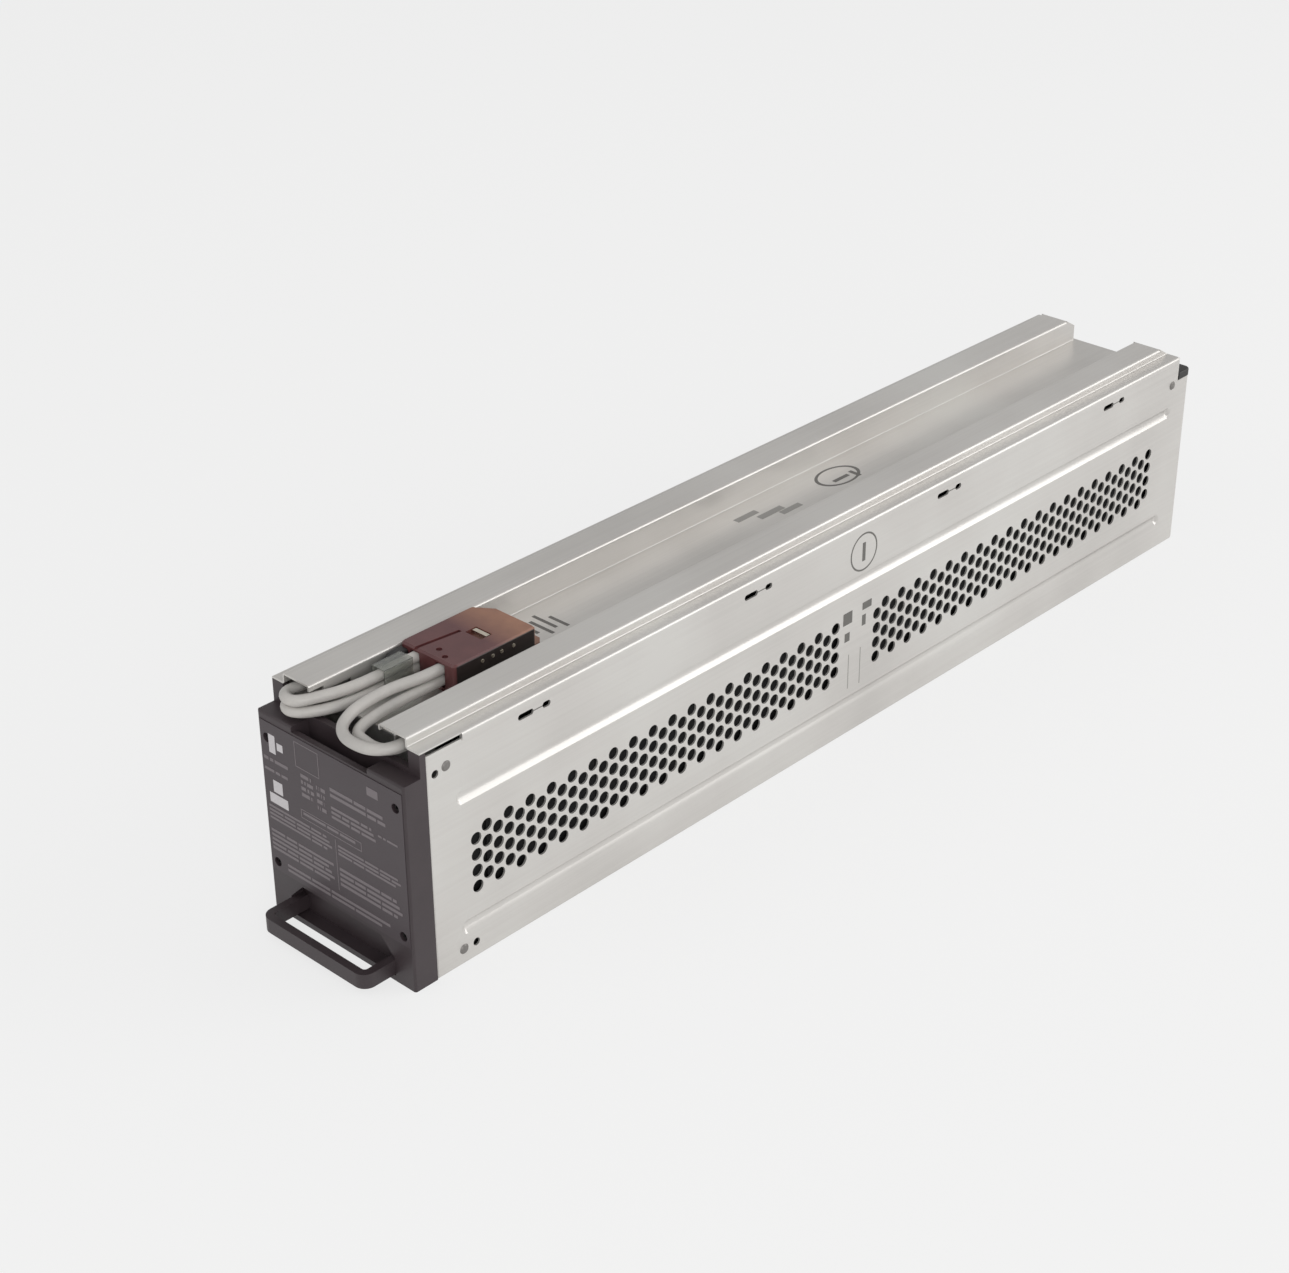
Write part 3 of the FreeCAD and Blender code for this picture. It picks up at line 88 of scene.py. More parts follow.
# the routes repeat the CAD source's points, moved to this frame
leads = {
    "diameter": 0.0055,
    "stepsAlong": 10,
    "stepsRound": 6,
    "smoothShare": 0.985,           # the smooth lead's length as a share of the runs between its points
    "plugLead": "lead_left_upper",  # the one whose far end stands for the plug
    "routes": {
        "lead_left_upper": [
            (-0.0368, -0.20445, 0.1182), (-0.0368, -0.22045, 0.1182), (-0.0366, -0.23745, 0.1184),
            (-0.036, -0.25445, 0.1188), (-0.0351, -0.26945, 0.1192), (-0.0345, -0.28105, 0.1193),
            (-0.0362, -0.28925, 0.1193), (-0.034, -0.29335, 0.1193), (-0.0296, -0.29485, 0.1193),
            (-0.0253, -0.29295, 0.1193), (-0.0218, -0.28515, 0.1194), (-0.0182, -0.27705, 0.1197),
            (-0.0152, -0.26695, 0.1204), (-0.0131, -0.25445, 0.1215), (-0.01265, -0.24045, 0.1224),
            (-0.01265, -0.22645, 0.1224)],
        "lead_left_lower": [
            (-0.0328, -0.20445, 0.114), (-0.0328, -0.22045, 0.114), (-0.033, -0.23745, 0.1138),
            (-0.0336, -0.25445, 0.1136), (-0.0341, -0.26945, 0.1135), (-0.0345, -0.28105, 0.1135),
            (-0.0363, -0.28885, 0.1135), (-0.0342, -0.29315, 0.1135), (-0.0296, -0.29465, 0.1135),
            (-0.0246, -0.29205, 0.1135), (-0.0194, -0.28505, 0.1137), (-0.015, -0.27745, 0.1145),
            (-0.0125, -0.26795, 0.1151), (-0.012, -0.25495, 0.1159), (-0.01265, -0.24095, 0.1167),
            (-0.01265, -0.22645, 0.1167)],
        "lead_right_upper": [
            (0.0334, -0.24045, 0.1196), (0.0334, -0.25245, 0.1196), (0.0341, -0.26495, 0.119),
            (0.0346, -0.27745, 0.1183), (0.0332, -0.28905, 0.1174), (0.0264, -0.29505, 0.1166),
            (0.0178, -0.29625, 0.1161), (0.0092, -0.29585, 0.1163), (0.0022, -0.29145, 0.1173),
            (-0.001, -0.28285, 0.1191), (-0.0014, -0.27195, 0.1206), (0, -0.25845, 0.1218),
            (0.00415, -0.24345, 0.1224), (0.00415, -0.22645, 0.1224)],
        "lead_right_lower": [
            (0.0334, -0.24045, 0.1139), (0.0334, -0.25245, 0.1139), (0.0318, -0.26445, 0.1137),
            (0.0306, -0.27545, 0.1135), (0.029, -0.28565, 0.1135), (0.0226, -0.28985, 0.1135),
            (0.015, -0.28905, 0.1135), (0.0084, -0.28805, 0.1135), (0.0043, -0.28185, 0.1141),
            (0.0034, -0.27095, 0.1152), (0.0034, -0.25745, 0.1161), (0.00415, -0.24245, 0.1167),
            (0.00415, -0.22645, 0.1167)],
    },
}


def makeLead(node, points):
    data = bpy.data.curves.new(node + "_wire", "CURVE")
    data.dimensions = "3D"
    data.resolution_u = leads["stepsAlong"]
    data.bevel_depth = 1.0          # each point's radius carries the real size, which keeps the box true
    data.bevel_resolution = leads["stepsRound"]
    data.use_fill_caps = True
    line = data.splines.new("NURBS")
    line.points.add(len(points) - 1)
    for spot, place in zip(line.points, points):
        spot.co = (*place, 1)
        spot.radius = leads["diameter"] / 2
    line.order_u = 3
    line.use_endpoint_u = True
    piece = bpy.data.objects.new(node + "_wire", data)
    bpy.context.collection.objects.link(piece)
    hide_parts(node)
    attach(piece, "root")
    return piece


leadPieces = {}
for leadNode, leadRoute in leads["routes"].items():
    leadPieces[leadNode] = makeLead(leadNode, leadRoute)
print("leads laid")


def linear(code):
    # sRGB hex to linear colour
    parts = [int(code[i:i + 2], 16) / 255 for i in (1, 3, 5)]
    return [c / 12.92 if c <= 0.04045 else ((c + 0.055) / 1.055) ** 2.4 for c in parts] + [1]


def addNode(material, kind, values=None, links=None, **settings):
    # one node, its sockets' values, its links from other nodes' sockets, and its settings;
    # a noise's Scale is 1000 over the size of its marks in millimetres, or 1 where a Mapping has done that
    node = material.node_tree.nodes.new("ShaderNode" + kind)
    for name, setting in settings.items():
        setattr(node, name, setting)
    for name, number in (values or {}).items():
        node.inputs[name].default_value = number
    for name, source in (links or {}).items():
        material.node_tree.links.new(source, node.inputs[name])
    return node


def newMaterial(name):
    material = bpy.data.materials.new(name)
    material.use_nodes = True
    material.node_tree.nodes.clear()
    return material


def ramp(material, source, stops):
    node = addNode(material, "ValToRGB", links={"Fac": source})
    while len(node.color_ramp.elements) < len(stops):
        node.color_ramp.elements.new(0.5)
    for element, (place, colour) in zip(node.color_ramp.elements, stops):
        element.position = place
        element.color = linear(colour)
    return node


def finishMaterial(material, shader):
    addNode(material, "OutputMaterial", links={"Surface": shader.outputs[0]})
    return material


def galvanisedSteel(name, light, mid, dark):
    # Skin-passed galvanised sheet: a smooth pale grey skin, lengthwise roll streaks and a soft sheen.
    m = newMaterial(name)
    place = addNode(m, "TexCoord").outputs["Object"]
    clouds = addNode(m, "TexNoise", {"Scale": 1000 / 111, "Detail": 3.0, "Roughness": 0.5}, {"Vector": place})
    # streaks lie the long way, 1.43 mm apart, and fade in and out over 200 mm: coarser than the rolls
    # leave them, so that they show
    rolled = addNode(m, "Mapping", {"Scale": (1000 / 1.43, 1000 / 200, 1000 / 1.43)}, {"Vector": place})
    streaks = addNode(m, "TexNoise", {"Scale": 1.0, "Detail": 3.0, "Roughness": 0.55},
                      {"Vector": rolled.outputs["Vector"]})
    blend = addNode(m, "Mix", {"Factor": 0.22}, {"A": clouds.outputs["Fac"], "B": streaks.outputs["Fac"]},
                    data_type="FLOAT")
    colour = ramp(m, blend.outputs["Result"], [(0.36, dark), (0.5, mid), (0.64, light)])
    gloss = addNode(m, "MapRange", {"From Min": 0.35, "From Max": 0.65, "To Min": 0.30, "To Max": 0.38},
                    {"Value": blend.outputs["Result"]})
    bumps = addNode(m, "Bump", {"Strength": 0.02, "Distance": 0.0002}, {"Height": streaks.outputs["Fac"]})
    shader = addNode(m, "BsdfPrincipled", {"Metallic": 0.55},
                     {"Base Color": colour.outputs["Color"], "Roughness": gloss.outputs["Result"],
                      "Normal": bumps.outputs["Normal"]})
    return finishMaterial(m, shader)


def moulded(name, base, worn, roughness, grain=0.5, depth=0.00006):
    # Injection-moulded plastic: an even colour with the spark grain of its tool, drawn a few times
    # coarser than it is, so that it shows.
    m = newMaterial(name)
    place = addNode(m, "TexCoord").outputs["Object"]
    grains = addNode(m, "TexNoise", {"Scale": 1000 / grain, "Detail": 2.0, "Roughness": 0.55},
                     {"Vector": place})
    clouds = addNode(m, "TexNoise", {"Scale": 1000 / 28.6, "Detail": 5.0, "Roughness": 0.65},
                     {"Vector": place})
    colour = ramp(m, clouds.outputs["Fac"], [(0.35, base), (0.72, worn)])
    gloss = addNode(m, "MapRange", {"From Min": 0.3, "From Max": 0.7, "To Min": roughness - 0.06,
                                    "To Max": roughness + 0.06}, {"Value": clouds.outputs["Fac"]})
    bumps = addNode(m, "Bump", {"Strength": 0.35, "Distance": depth}, {"Height": grains.outputs["Fac"]})
    shader = addNode(m, "BsdfPrincipled", {"IOR": 1.5},
                     {"Base Color": colour.outputs["Color"], "Roughness": gloss.outputs["Result"],
                      "Normal": bumps.outputs["Normal"]})
    return finishMaterial(m, shader)


def plainMetal(name, base, worn, roughness, metallic=1.0):
    # Small turned or stamped metal: one colour, faint smears in its polish.
    m = newMaterial(name)
    place = addNode(m, "TexCoord").outputs["Object"]
    smears = addNode(m, "TexNoise", {"Scale": 1000 / 3.85, "Detail": 4.0, "Roughness": 0.6},
                     {"Vector": place})
    colour = ramp(m, smears.outputs["Fac"], [(0.3, base), (0.7, worn)])
    gloss = addNode(m, "MapRange", {"To Min": roughness - 0.1, "To Max": roughness + 0.1},
                    {"Value": smears.outputs["Fac"]})
    shader = addNode(m, "BsdfPrincipled", {"Metallic": metallic},
                     {"Base Color": colour.outputs["Color"], "Roughness": gloss.outputs["Result"]})
    return finishMaterial(m, shader)


def printedFilm(name, colour):
    # Ink under a clear film: flat colour, a soft even gloss with a faint orange peel.
    m = newMaterial(name)
    place = addNode(m, "TexCoord").outputs["Object"]
    peel = addNode(m, "TexNoise", {"Scale": 1000 / 2.38, "Detail": 2.0}, {"Vector": place})
    smears = addNode(m, "TexNoise", {"Scale": 1000 / 33.3, "Detail": 4.0}, {"Vector": place})
    gloss = addNode(m, "MapRange", {"To Min": 0.35, "To Max": 0.5}, {"Value": smears.outputs["Fac"]})
    bumps = addNode(m, "Bump", {"Strength": 0.12, "Distance": 0.0001}, {"Height": peel.outputs["Fac"]})
    shader = addNode(m, "BsdfPrincipled", {"Base Color": linear(colour), "IOR": 1.5},
                     {"Roughness": gloss.outputs["Result"], "Normal": bumps.outputs["Normal"]})
    return finishMaterial(m, shader)


def clearTube(name, tint):
    # Clear extruded vinyl tube: milky, with a trace of green and wet-looking highlights.
    m = newMaterial(name)
    place = addNode(m, "TexCoord").outputs["Object"]
    waves = addNode(m, "TexNoise", {"Scale": 1000 / 5.56, "Detail": 2.0}, {"Vector": place})
    bumps = addNode(m, "Bump", {"Strength": 0.25, "Distance": 0.0004}, {"Height": waves.outputs["Fac"]})
    shader = addNode(m, "BsdfPrincipled", {"Base Color": linear(tint), "Roughness": 0.18, "IOR": 1.52,
                                           "Transmission Weight": 0.9},
                     {"Normal": bumps.outputs["Normal"]})
    return finishMaterial(m, shader)


plug = {
    "front": ("#512829", "#5d3232"),
    "back": ("#845a46", "#956951"),
    "fadeStart": mm(0, 76, 0).y,
    "fadeEnd": mm(0, 94, 0).y,
    "paintedShade": "#1c1311",                # painted shade, near black, on the side by the rail
    "paintedShadeFrom": mm(13.7, 0, 0).x,
    "paintedShadeWithin": 0.0003,
}


def twoTonePlugWithPaintedShade(name):
    # Moulded polycarbonate: red-brown where it is thick, amber where light gets into the thin end,
    # and painted shade, near black, down the side that stands close to the rail, where it is in shadow.
    m = newMaterial(name)
    place = addNode(m, "TexCoord").outputs["Object"]
    parts = addNode(m, "SeparateXYZ", links={"Vector": place}).outputs
    fade = addNode(m, "MapRange", {"From Min": plug["fadeStart"], "From Max": plug["fadeEnd"]},
                   {"Value": parts["Y"]})
    # where the painted shade starts: the side of the plug that stands by the rail
    side = addNode(m, "MapRange", {"From Min": plug["paintedShadeFrom"],
                                   "From Max": plug["paintedShadeFrom"] + plug["paintedShadeWithin"]},
                   {"Value": parts["X"]})
    clouds = addNode(m, "TexNoise", {"Scale": 1000 / 11.1, "Detail": 4.0}, {"Vector": place})
    dark = ramp(m, clouds.outputs["Fac"], list(zip((0.3, 0.7), plug["front"])))
    light = ramp(m, clouds.outputs["Fac"], list(zip((0.3, 0.7), plug["back"])))
    faded = addNode(m, "Mix", {}, {"Factor": fade.outputs["Result"], "A": dark.outputs["Color"],
                                   "B": light.outputs["Color"]}, data_type="RGBA")
    # mixes the painted shade over the plug's own colours
    colour = addNode(m, "Mix", {"B": linear(plug["paintedShade"])},
                     {"Factor": side.outputs["Result"], "A": faded.outputs["Result"]}, data_type="RGBA")
    grains = addNode(m, "TexNoise", {"Scale": 1000 / 1.11, "Detail": 2.0}, {"Vector": place})
    bumps = addNode(m, "Bump", {"Strength": 0.2, "Distance": 0.00006}, {"Height": grains.outputs["Fac"]})
    shader = addNode(m, "BsdfPrincipled", {"IOR": 1.58, "Roughness": 0.4},
                     {"Base Color": colour.outputs["Result"], "Normal": bumps.outputs["Normal"]})
    return finishMaterial(m, shader)


finishes = {
    "steel": galvanisedSteel("galvanisedSteel", "#d0ceca", "#cac7c3", "#c1beba"),
    "charcoal": moulded("charcoalAbs", "#332a2d", "#3d3437", 0.46),         # satin, a touch of plum
    "black": moulded("blackPolypropylene", "#1d1c1c", "#282727", 0.5),      # waxy, soft edges of light
    "jar": moulded("blackBatteryJarAndPaintedShade", "#030304", "#060607", 0.9, grain=1.2),    # painted shade: darker than their own black plastic, so the vents read dead black
    "film": printedFilm("charcoalLabelFilm", "#3f363a"),
    "ink": printedFilm("paleGreyInk", "#6f676a"),
    "whiteInk": printedFilm("whiteInk", "#c6c2c4"),
    "greyInk": printedFilm("darkGreyInk", "#5f5d59"),
    "faintInk": printedFilm("wornGreyInk", "#8f8d89"),
    "rivets": plainMetal("steelRivet", "#7b7875", "#85827f", 0.5, metallic=0.7),        # dull, darker
    "screws": plainMetal("blackenedScrew", "#100f0f", "#1c1b1b", 0.5, metallic=0.5),    # oily black
    "tinned": plainMetal("tinnedBrass", "#b9b19a", "#cfc8b4", 0.35),        # pale, faintly yellow
    "silvered": plainMetal("silveredCopper", "#c9bfae", "#ddd5c6", 0.28),   # the brightest metal here
    # foamed rather than moulded: open grain and no sheen
    "foam": moulded("neopreneFoam", "#0a0a0a", "#101010", 0.9, grain=0.9, depth=0.0002),
    "plug": twoTonePlugWithPaintedShade("redBrownPolycarbonate"),
    # extruded: smoother than the mouldings, with a long soft highlight
    "jacket": moulded("greyWhitePvcJacket", "#b2afab", "#c5c1bc", 0.42, grain=1.5, depth=0.00003),
    "sleeve": clearTube("clearVinylSleeve", "#d6d8d2"),
}

wearing = {
    "case_tray": "steel", "top_cover": "steel", "rear_panel": "steel", "front_bulkhead": "steel",
    "rear_bumper_left": "black", "rear_bumper_right": "black", "front_bezel": "charcoal",
    "bezel_label": "film", "bezel_screws": "screws", "case_rivets": "rivets",
    "battery_tabs": "tinned", "series_links": "tinned", "string_fuse": "black",
    "foam_pads": "foam", "return_bar": "black", "connector_housing": "plug",
    "connector_contacts": "silvered", "cable_clamp": "black", "lead_lugs": "black",
    "lead_sleeve": "sleeve",
}
batteries = 8
for number in range(1, batteries + 1):
    wearing[f"battery_{number}"] = "jar"


def wear(piece, finish):
    piece.data.materials.clear()
    piece.data.materials.append(finishes[finish])


for cadNode, finishName in wearing.items():
    wear(bpy.data.objects[cadNode], finishName)
for leadPiece in leadPieces.values():
    wear(leadPiece, "jacket")
print("materials worn")


def only(piece):
    bpy.ops.object.select_all(action="DESELECT")
    piece.select_set(True)
    bpy.context.view_layer.objects.active = piece


def applyAll(piece):
    only(piece)
    for modifier in list(piece.modifiers):
        bpy.ops.object.modifier_apply(modifier=modifier.name)


def block(low, high):
    # a plain box between two corners in the source's millimetres
    bpy.ops.object.select_all(action="DESELECT")
    bpy.ops.mesh.primitive_cube_add(size=1)
    piece = bpy.context.active_object
    low, high = mm(*low), mm(*high)
    piece.location = (low + high) / 2
    piece.scale = high - low
    bpy.ops.object.transform_apply(location=True, rotation=True, scale=True)
    return piece


def joined(pieces, name, finish):
    bpy.ops.object.select_all(action="DESELECT")
    for piece in pieces:
        piece.select_set(True)
    bpy.context.view_layer.objects.active = pieces[0]
    if len(pieces) > 1:
        bpy.ops.object.join()
    piece = bpy.context.active_object
    piece.name = name
    wear(piece, finish)
    return piece


def mergedCopy(node, name):
    # a copy of a CAD piece with its doubled corners joined, so that modifiers can work on it
    source = bpy.data.objects[node]
    piece = bpy.data.objects.new(name, source.data.copy())
    bpy.context.collection.objects.link(piece)
    only(piece)
    bpy.ops.object.mode_set(mode="EDIT")
    bpy.ops.mesh.select_all(action="SELECT")
    bpy.ops.mesh.remove_doubles(threshold=0.00001)
    bpy.ops.object.mode_set(mode="OBJECT")
    return piece


def repeated(piece, count, dy=0.0, dz=0.0):
    rows = piece.modifiers.new("rows", "ARRAY")
    rows.count = count
    rows.use_relative_offset = False
    rows.use_constant_offset = True
    rows.constant_offset_displace = (0, dy / 1000, dz / 1000)


vents = {
    "diameter": 6.34, "sides": 20, "start": 26.9, "low": 37.5, "pitch": 6.78, "rise": 8.5,
    "columnPairs": 19, "levels": 4, "fields": 2, "fieldStep": 284.5,
    "through": 110,         # long enough to punch both sides
    "smoothUnder": 24,      # degrees
}


def makeVentedTray():
    # round punches over the CAD tray's four-cornered ones
    tray = mergedCopy("case_tray", "ventedTray")
    bpy.ops.object.select_all(action="DESELECT")
    bpy.ops.mesh.primitive_cylinder_add(vertices=vents["sides"], radius=vents["diameter"] / 2000,
                                        depth=vents["through"] / 1000,
                                        location=mm(0, vents["start"], vents["low"]),
                                        rotation=(0, math.pi / 2, 0))
    punch = bpy.context.active_object
    bpy.ops.object.transform_apply(location=True, rotation=True, scale=True)
    repeated(punch, vents["levels"], dz=vents["rise"])
    repeated(punch, 2, dy=vents["pitch"], dz=vents["rise"] / 2)     # the second, staggered column
    repeated(punch, vents["columnPairs"], dy=vents["pitch"] * 2)
    repeated(punch, vents["fields"], dy=vents["fieldStep"])
    applyAll(punch)
    cut = tray.modifiers.new("punched", "BOOLEAN")
    cut.operation = "DIFFERENCE"
    cut.solver = "EXACT"
    cut.object = punch
    applyAll(tray)
    bpy.data.objects.remove(punch, do_unlink=True)
    only(tray)
    bpy.ops.object.shade_smooth_by_angle(angle=math.radians(vents["smoothUnder"]))
    # flat faces keep their own normal, so the punched sides don't shade in wedges
    even = tray.modifiers.new("evenNormals", "WEIGHTED_NORMAL")
    even.weight = 100
    even.keep_sharp = True
    applyAll(tray)
    wear(tray, "steel")
    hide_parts("case_tray")
    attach(tray, "root")


makeVentedTray()
print("vents punched")


# print on the label, as plain fields
labelPrint = {
    "thick": 0.08,
    "sunk": 0.02,
    # across from, across to, low, high, and how many lines fill the field
    "fields": [(-46.5, -28.7, 82.6, 85.6, 1), (-46.5, -28.7, 77.1, 79.6, 1), (-20.8, -11.1, 72.9, 86.2, 4),
               (-10.2, -3.2, 70.4, 84.4, 4), (-0.7, 36.9, 81.4, 87.5, 2), (-0.7, 29.6, 70.4, 77.7, 3),
               (30.6, 44.2, 74.7, 76.5, 1), (-21.0, 17.0, 63.2, 65.6, 1), (-45.8, -1.2, 51.0, 59.5, 4),
               (-45.8, -1.2, 34.0, 46.2, 5), (2.0, 44.6, 52.2, 58.3, 3), (2.0, 44.6, 35.2, 46.2, 4),
               (-36.0, 35.7, 25.4, 30.6, 2)],
    "gaps": [0.24, 0.43, 0.66, 0.84],       # where a line's dashes part, as shares of its length
    "gap": 0.9,                             # taken off the end of each dash
    "inkShare": 0.58,                       # how much of a line's pitch is ink
    "ragged": 0.04,                         # step by which lines end short, as a share of their length
    "frames": [(-23.8, -7.4, 88.7, 102.0), (-22.6, 18.7, 61.9, 66.8)],
    "frameLine": 0.45,
    "solid": [(24.8, 32.1, 94.7, 99.0), (0.3, 0.7, 33.0, 60.5)],
    "white": [(-44.5, -31.7, 61.3, 66.5), (-41.3, -34.9, 67.7, 74.1), (-42.0, -37.6, 88.7, 98.4),
              (-36.4, -32.3, 91.6, 95.6)],
}


def makeLabelPrint():
    front = (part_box("bezel_label")[0][1] - caseFront) * 1000     # the film's face, in the source's place

    def patch(left, right, low, high):
        return block((left, front - labelPrint["thick"], low), (right, front + labelPrint["sunk"], high))

    inks = []
    for number, (left, right, low, high, lines) in enumerate(labelPrint["fields"]):
        pitch = (high - low) / lines
        length = right - left
        for line in range(lines):
            top = high - line * pitch
            lineEnd = 1.0 - labelPrint["ragged"] * ((number + line * 2) % 3)
            marks = [0.0] + labelPrint["gaps"][(number + line) % 3:][:2] + [lineEnd]
            for start, end in zip(marks, marks[1:]):
                inks.append(patch(left + length * start, left + length * end - labelPrint["gap"],
                                  top - pitch * labelPrint["inkShare"], top))
    edge = labelPrint["frameLine"]
    for left, right, low, high in labelPrint["frames"]:
        inks.append(patch(left, right, high - edge, high))
        inks.append(patch(left, right, low, low + edge))
        inks.append(patch(left, left + edge, low + edge, high - edge))
        inks.append(patch(right - edge, right, low + edge, high - edge))
    inks += [patch(*field) for field in labelPrint["solid"]]
    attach(joined(inks, "labelPrint", "ink"), "root")
    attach(joined([patch(*field) for field in labelPrint["white"]], "labelIcon", "whiteInk"), "root")


makeLabelPrint()
print("label printed")


# small bright pin ends along the connector's side
studs = {
    "radius": 0.95, "sides": 20, "proud": 0.35, "edge": 0.12, "face": 14.1, "height": 123.6,
    "along": [67.0, 73.5, 79.0, 86.5],
    "smoothUnder": 40,      # degrees
}


def makeStuds():
    pieces = []
    for along in studs["along"]:
        bpy.ops.object.select_all(action="DESELECT")
        bpy.ops.mesh.primitive_cylinder_add(vertices=studs["sides"], radius=studs["radius"] / 1000,
                                            depth=studs["proud"] * 2 / 1000,
                                            location=mm(studs["face"], along, studs["height"]),
                                            rotation=(0, math.pi / 2, 0))
        stud = bpy.context.active_object
        bpy.ops.object.transform_apply(location=True, rotation=True, scale=True)
        bpy.ops.object.mode_set(mode="EDIT")
        bpy.ops.mesh.select_all(action="SELECT")
        bpy.ops.mesh.bevel(offset=studs["edge"] / 1000, segments=2, affect="EDGES")
        bpy.ops.object.mode_set(mode="OBJECT")
        pieces.append(stud)
    whole = joined(pieces, "connectorStuds", "silvered")
    only(whole)
    bpy.ops.object.shade_smooth_by_angle(angle=math.radians(studs["smoothUnder"]))
    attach(whole, "root")


makeStuds()
print("studs set")


# marks printed on the steel, as plain shapes
steelMarks = {
    "thick": 0.06,
    "sunk": 0.02,
    "sideFace": 49.0,
    "channelFloor": 111.7,
    "ring": {"along": 298.4, "height": 103.6, "radius": 10.2, "halfLine": 0.5},
    # on the side, dark and worn: along from, along to, low, high
    "side": [(283.6, 290.8, 66.0, 73.0), (285.2, 289.2, 56.0, 61.0), (299.0, 306.4, 69.6, 73.8),
             (299.0, 302.0, 60.5, 66.6), (297.2, 299.6, 98.4, 108.8)],
    "faint": [(288.8, 289.3, 27.5, 47.6), (298.3, 298.8, 26.8, 48.2)],
    # the thin line that joins each pair of lanced slots
    "lanceLines": {"start": 64.6, "end": 70.2, "low": 112.35, "high": 112.85, "step": 151.8, "count": 4},
    # on the channel floor, dark and worn: across from, across to, along from, along to
    "floor": [(-15.0, -1.0, 116.0, 118.0), (-12.0, 4.0, 121.0, 123.0), (-15.0, 1.0, 126.0, 128.0),
              (-9.0, 4.0, 131.0, 133.0), (-6.0, 1.5, 352.5, 355.0), (-5.0, -2.5, 338.0, 350.0)],
    "smudges": [(-12.6, -8.6, 268.0, 284.0), (-6.4, -2.2, 279.0, 297.0), (-1.6, 2.2, 291.0, 306.0)],
    "curl": {"across": -7.0, "along": 345.0, "halfWide": 9.0, "halfLong": 14.0, "halfLine": 0.7},
    "strokeHeight": 0.15,       # a stroke's height as a share of its width
}


def flatRing(halfWide, halfLong, halfLine):
    # a closed stroke that lies flat on the XY plane
    bpy.ops.object.select_all(action="DESELECT")
    bpy.ops.mesh.primitive_torus_add(major_radius=halfWide / 1000, minor_radius=halfLine / 1000,
                                     major_segments=64, minor_segments=8)
    ring = bpy.context.active_object
    ring.scale = (1, halfLong / halfWide, steelMarks["strokeHeight"])
    bpy.ops.object.transform_apply(location=True, rotation=True, scale=True)
    return ring


def settle(piece, place, turn=(0, 0, 0)):
    only(piece)
    piece.rotation_euler = turn
    piece.location = place
    bpy.ops.object.transform_apply(location=True, rotation=True, scale=True)
    return piece


def makeSteelMarks():
    side, floor = steelMarks["sideFace"], steelMarks["channelFloor"]
    sunk, thick = steelMarks["sunk"], steelMarks["thick"]

    def onSide(marks):
        return [block((side - sunk, start, low), (side + thick, end, high))
                for start, end, low, high in marks]

    def onFloor(marks):
        return [block((left, start, floor - sunk), (right, end, floor + thick))
                for left, right, start, end in marks]

    ring, curl, lance = steelMarks["ring"], steelMarks["curl"], steelMarks["lanceLines"]
    inks = onSide(steelMarks["side"]) + onFloor(steelMarks["floor"])
    inks.append(settle(flatRing(ring["radius"], ring["radius"], ring["halfLine"]),
                       mm(side, ring["along"], ring["height"]), (0, math.pi / 2, 0)))
    inks.append(settle(flatRing(curl["halfWide"], curl["halfLong"], curl["halfLine"]),
                       mm(curl["across"], curl["along"], floor)))
    for number in range(lance["count"]):
        shift = number * lance["step"]
        inks += onSide([(lance["start"] + shift, lance["end"] + shift, lance["low"], lance["high"])])
    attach(joined(inks, "steelMarks", "greyInk"), "root")
    worn = onSide(steelMarks["faint"]) + onFloor(steelMarks["smudges"])
    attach(joined(worn, "faintMarks", "faintInk"), "root")


makeSteelMarks()
print("steel marked")


stage = {
    # place, size and power of each lamp
    "lamps": {
        "keyLamp": ((1.7, -1.3, 0.9), 1.0, 12.5),
        "fillLamp": ((-0.6, -1.9, 1.5), 1.6, 6.0),
        "rimLamp": ((1.4, 1.35, 0.8), 1.7, 17.0),
    },
    "floorSize": 40,
    "glowShare": 0.82,      # how much of the floor's brightness is its own, where it is seen directly
    "glowLevel": 0.92,
    "skyLevel": 0.60,       # as a light
    "seenSkyLevel": 0.9,    # as the backdrop
}


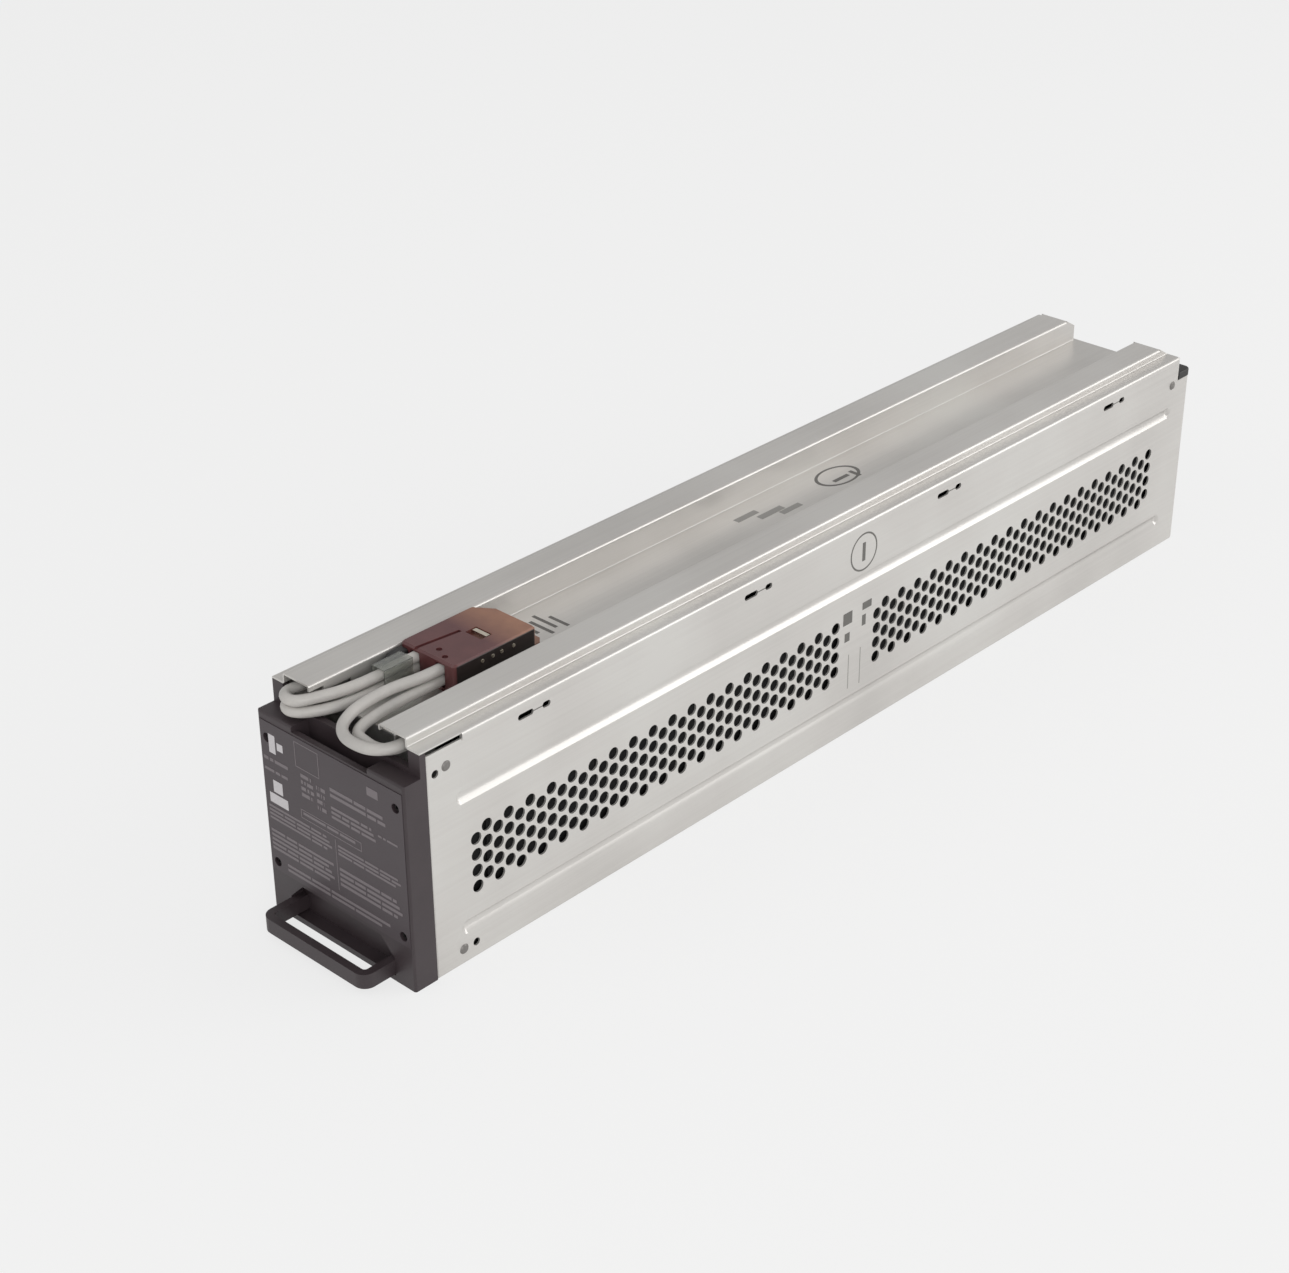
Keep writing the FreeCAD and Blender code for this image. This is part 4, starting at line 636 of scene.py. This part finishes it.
def areaLamp(name, place, size, power):
    data = bpy.data.lights.new(name, "AREA")
    data.shape = "DISK"
    data.size = size
    data.energy = power
    lamp = bpy.data.objects.new(name, data)
    bpy.context.collection.objects.link(lamp)
    lamp.location = place
    lamp.rotation_mode = "QUATERNION"
    lamp.rotation_quaternion = Vector(place).to_track_quat("Z", "Y")
    return lamp


def seenDirectly(m):
    # 1 where the eye, a mirror or a clear piece looks straight at it
    rays = addNode(m, "LightPath").outputs
    glossy = addNode(m, "Math", {}, {0: rays["Is Camera Ray"], 1: rays["Is Glossy Ray"]}, operation="ADD")
    clear = addNode(m, "Math", {}, {0: glossy.outputs[0], 1: rays["Is Transmission Ray"]}, operation="ADD",
                    use_clamp=True)
    return clear.outputs[0]


def makeStage():
    bpy.ops.object.select_all(action="DESELECT")
    bpy.ops.mesh.primitive_plane_add(size=stage["floorSize"], location=(0, 0, 0))
    floor = bpy.context.active_object
    floor.name = "floor"
    # matt white paper, lit from within where seen directly: pale and even, with a faint soft shadow
    paper = newMaterial("whitePaperSweep")
    part = addNode(paper, "Math", {1: stage["glowShare"]}, {0: seenDirectly(paper)}, operation="MULTIPLY")
    matt = addNode(paper, "BsdfDiffuse", {"Color": linear("#f2f2f1")})
    glow = addNode(paper, "Emission", {"Color": linear("#fdfdfd"), "Strength": stage["glowLevel"]})
    both = addNode(paper, "MixShader", {}, {0: part.outputs[0], 1: matt.outputs[0], 2: glow.outputs[0]})
    finishMaterial(paper, both)
    floor.data.materials.append(paper)
    lamps = [areaLamp(name, *values) for name, values in stage["lamps"].items()]

    world = bpy.data.worlds.new("studio")
    bpy.context.scene.world = world
    world.use_nodes = True
    world.node_tree.nodes.clear()
    seen = addNode(world, "LightPath").outputs["Is Camera Ray"]
    level = addNode(world, "MapRange", {"To Min": stage["skyLevel"], "To Max": stage["seenSkyLevel"]},
                    {"Value": seen})
    sky = addNode(world, "Background", {"Color": linear("#fdfdfd")}, {"Strength": level.outputs["Result"]})
    addNode(world, "OutputWorld", links={"Surface": sky.outputs[0]})
    bpy.context.scene.view_settings.view_transform = "Standard"


makeStage()
print("stage set")

bpy.context.view_layer.update()
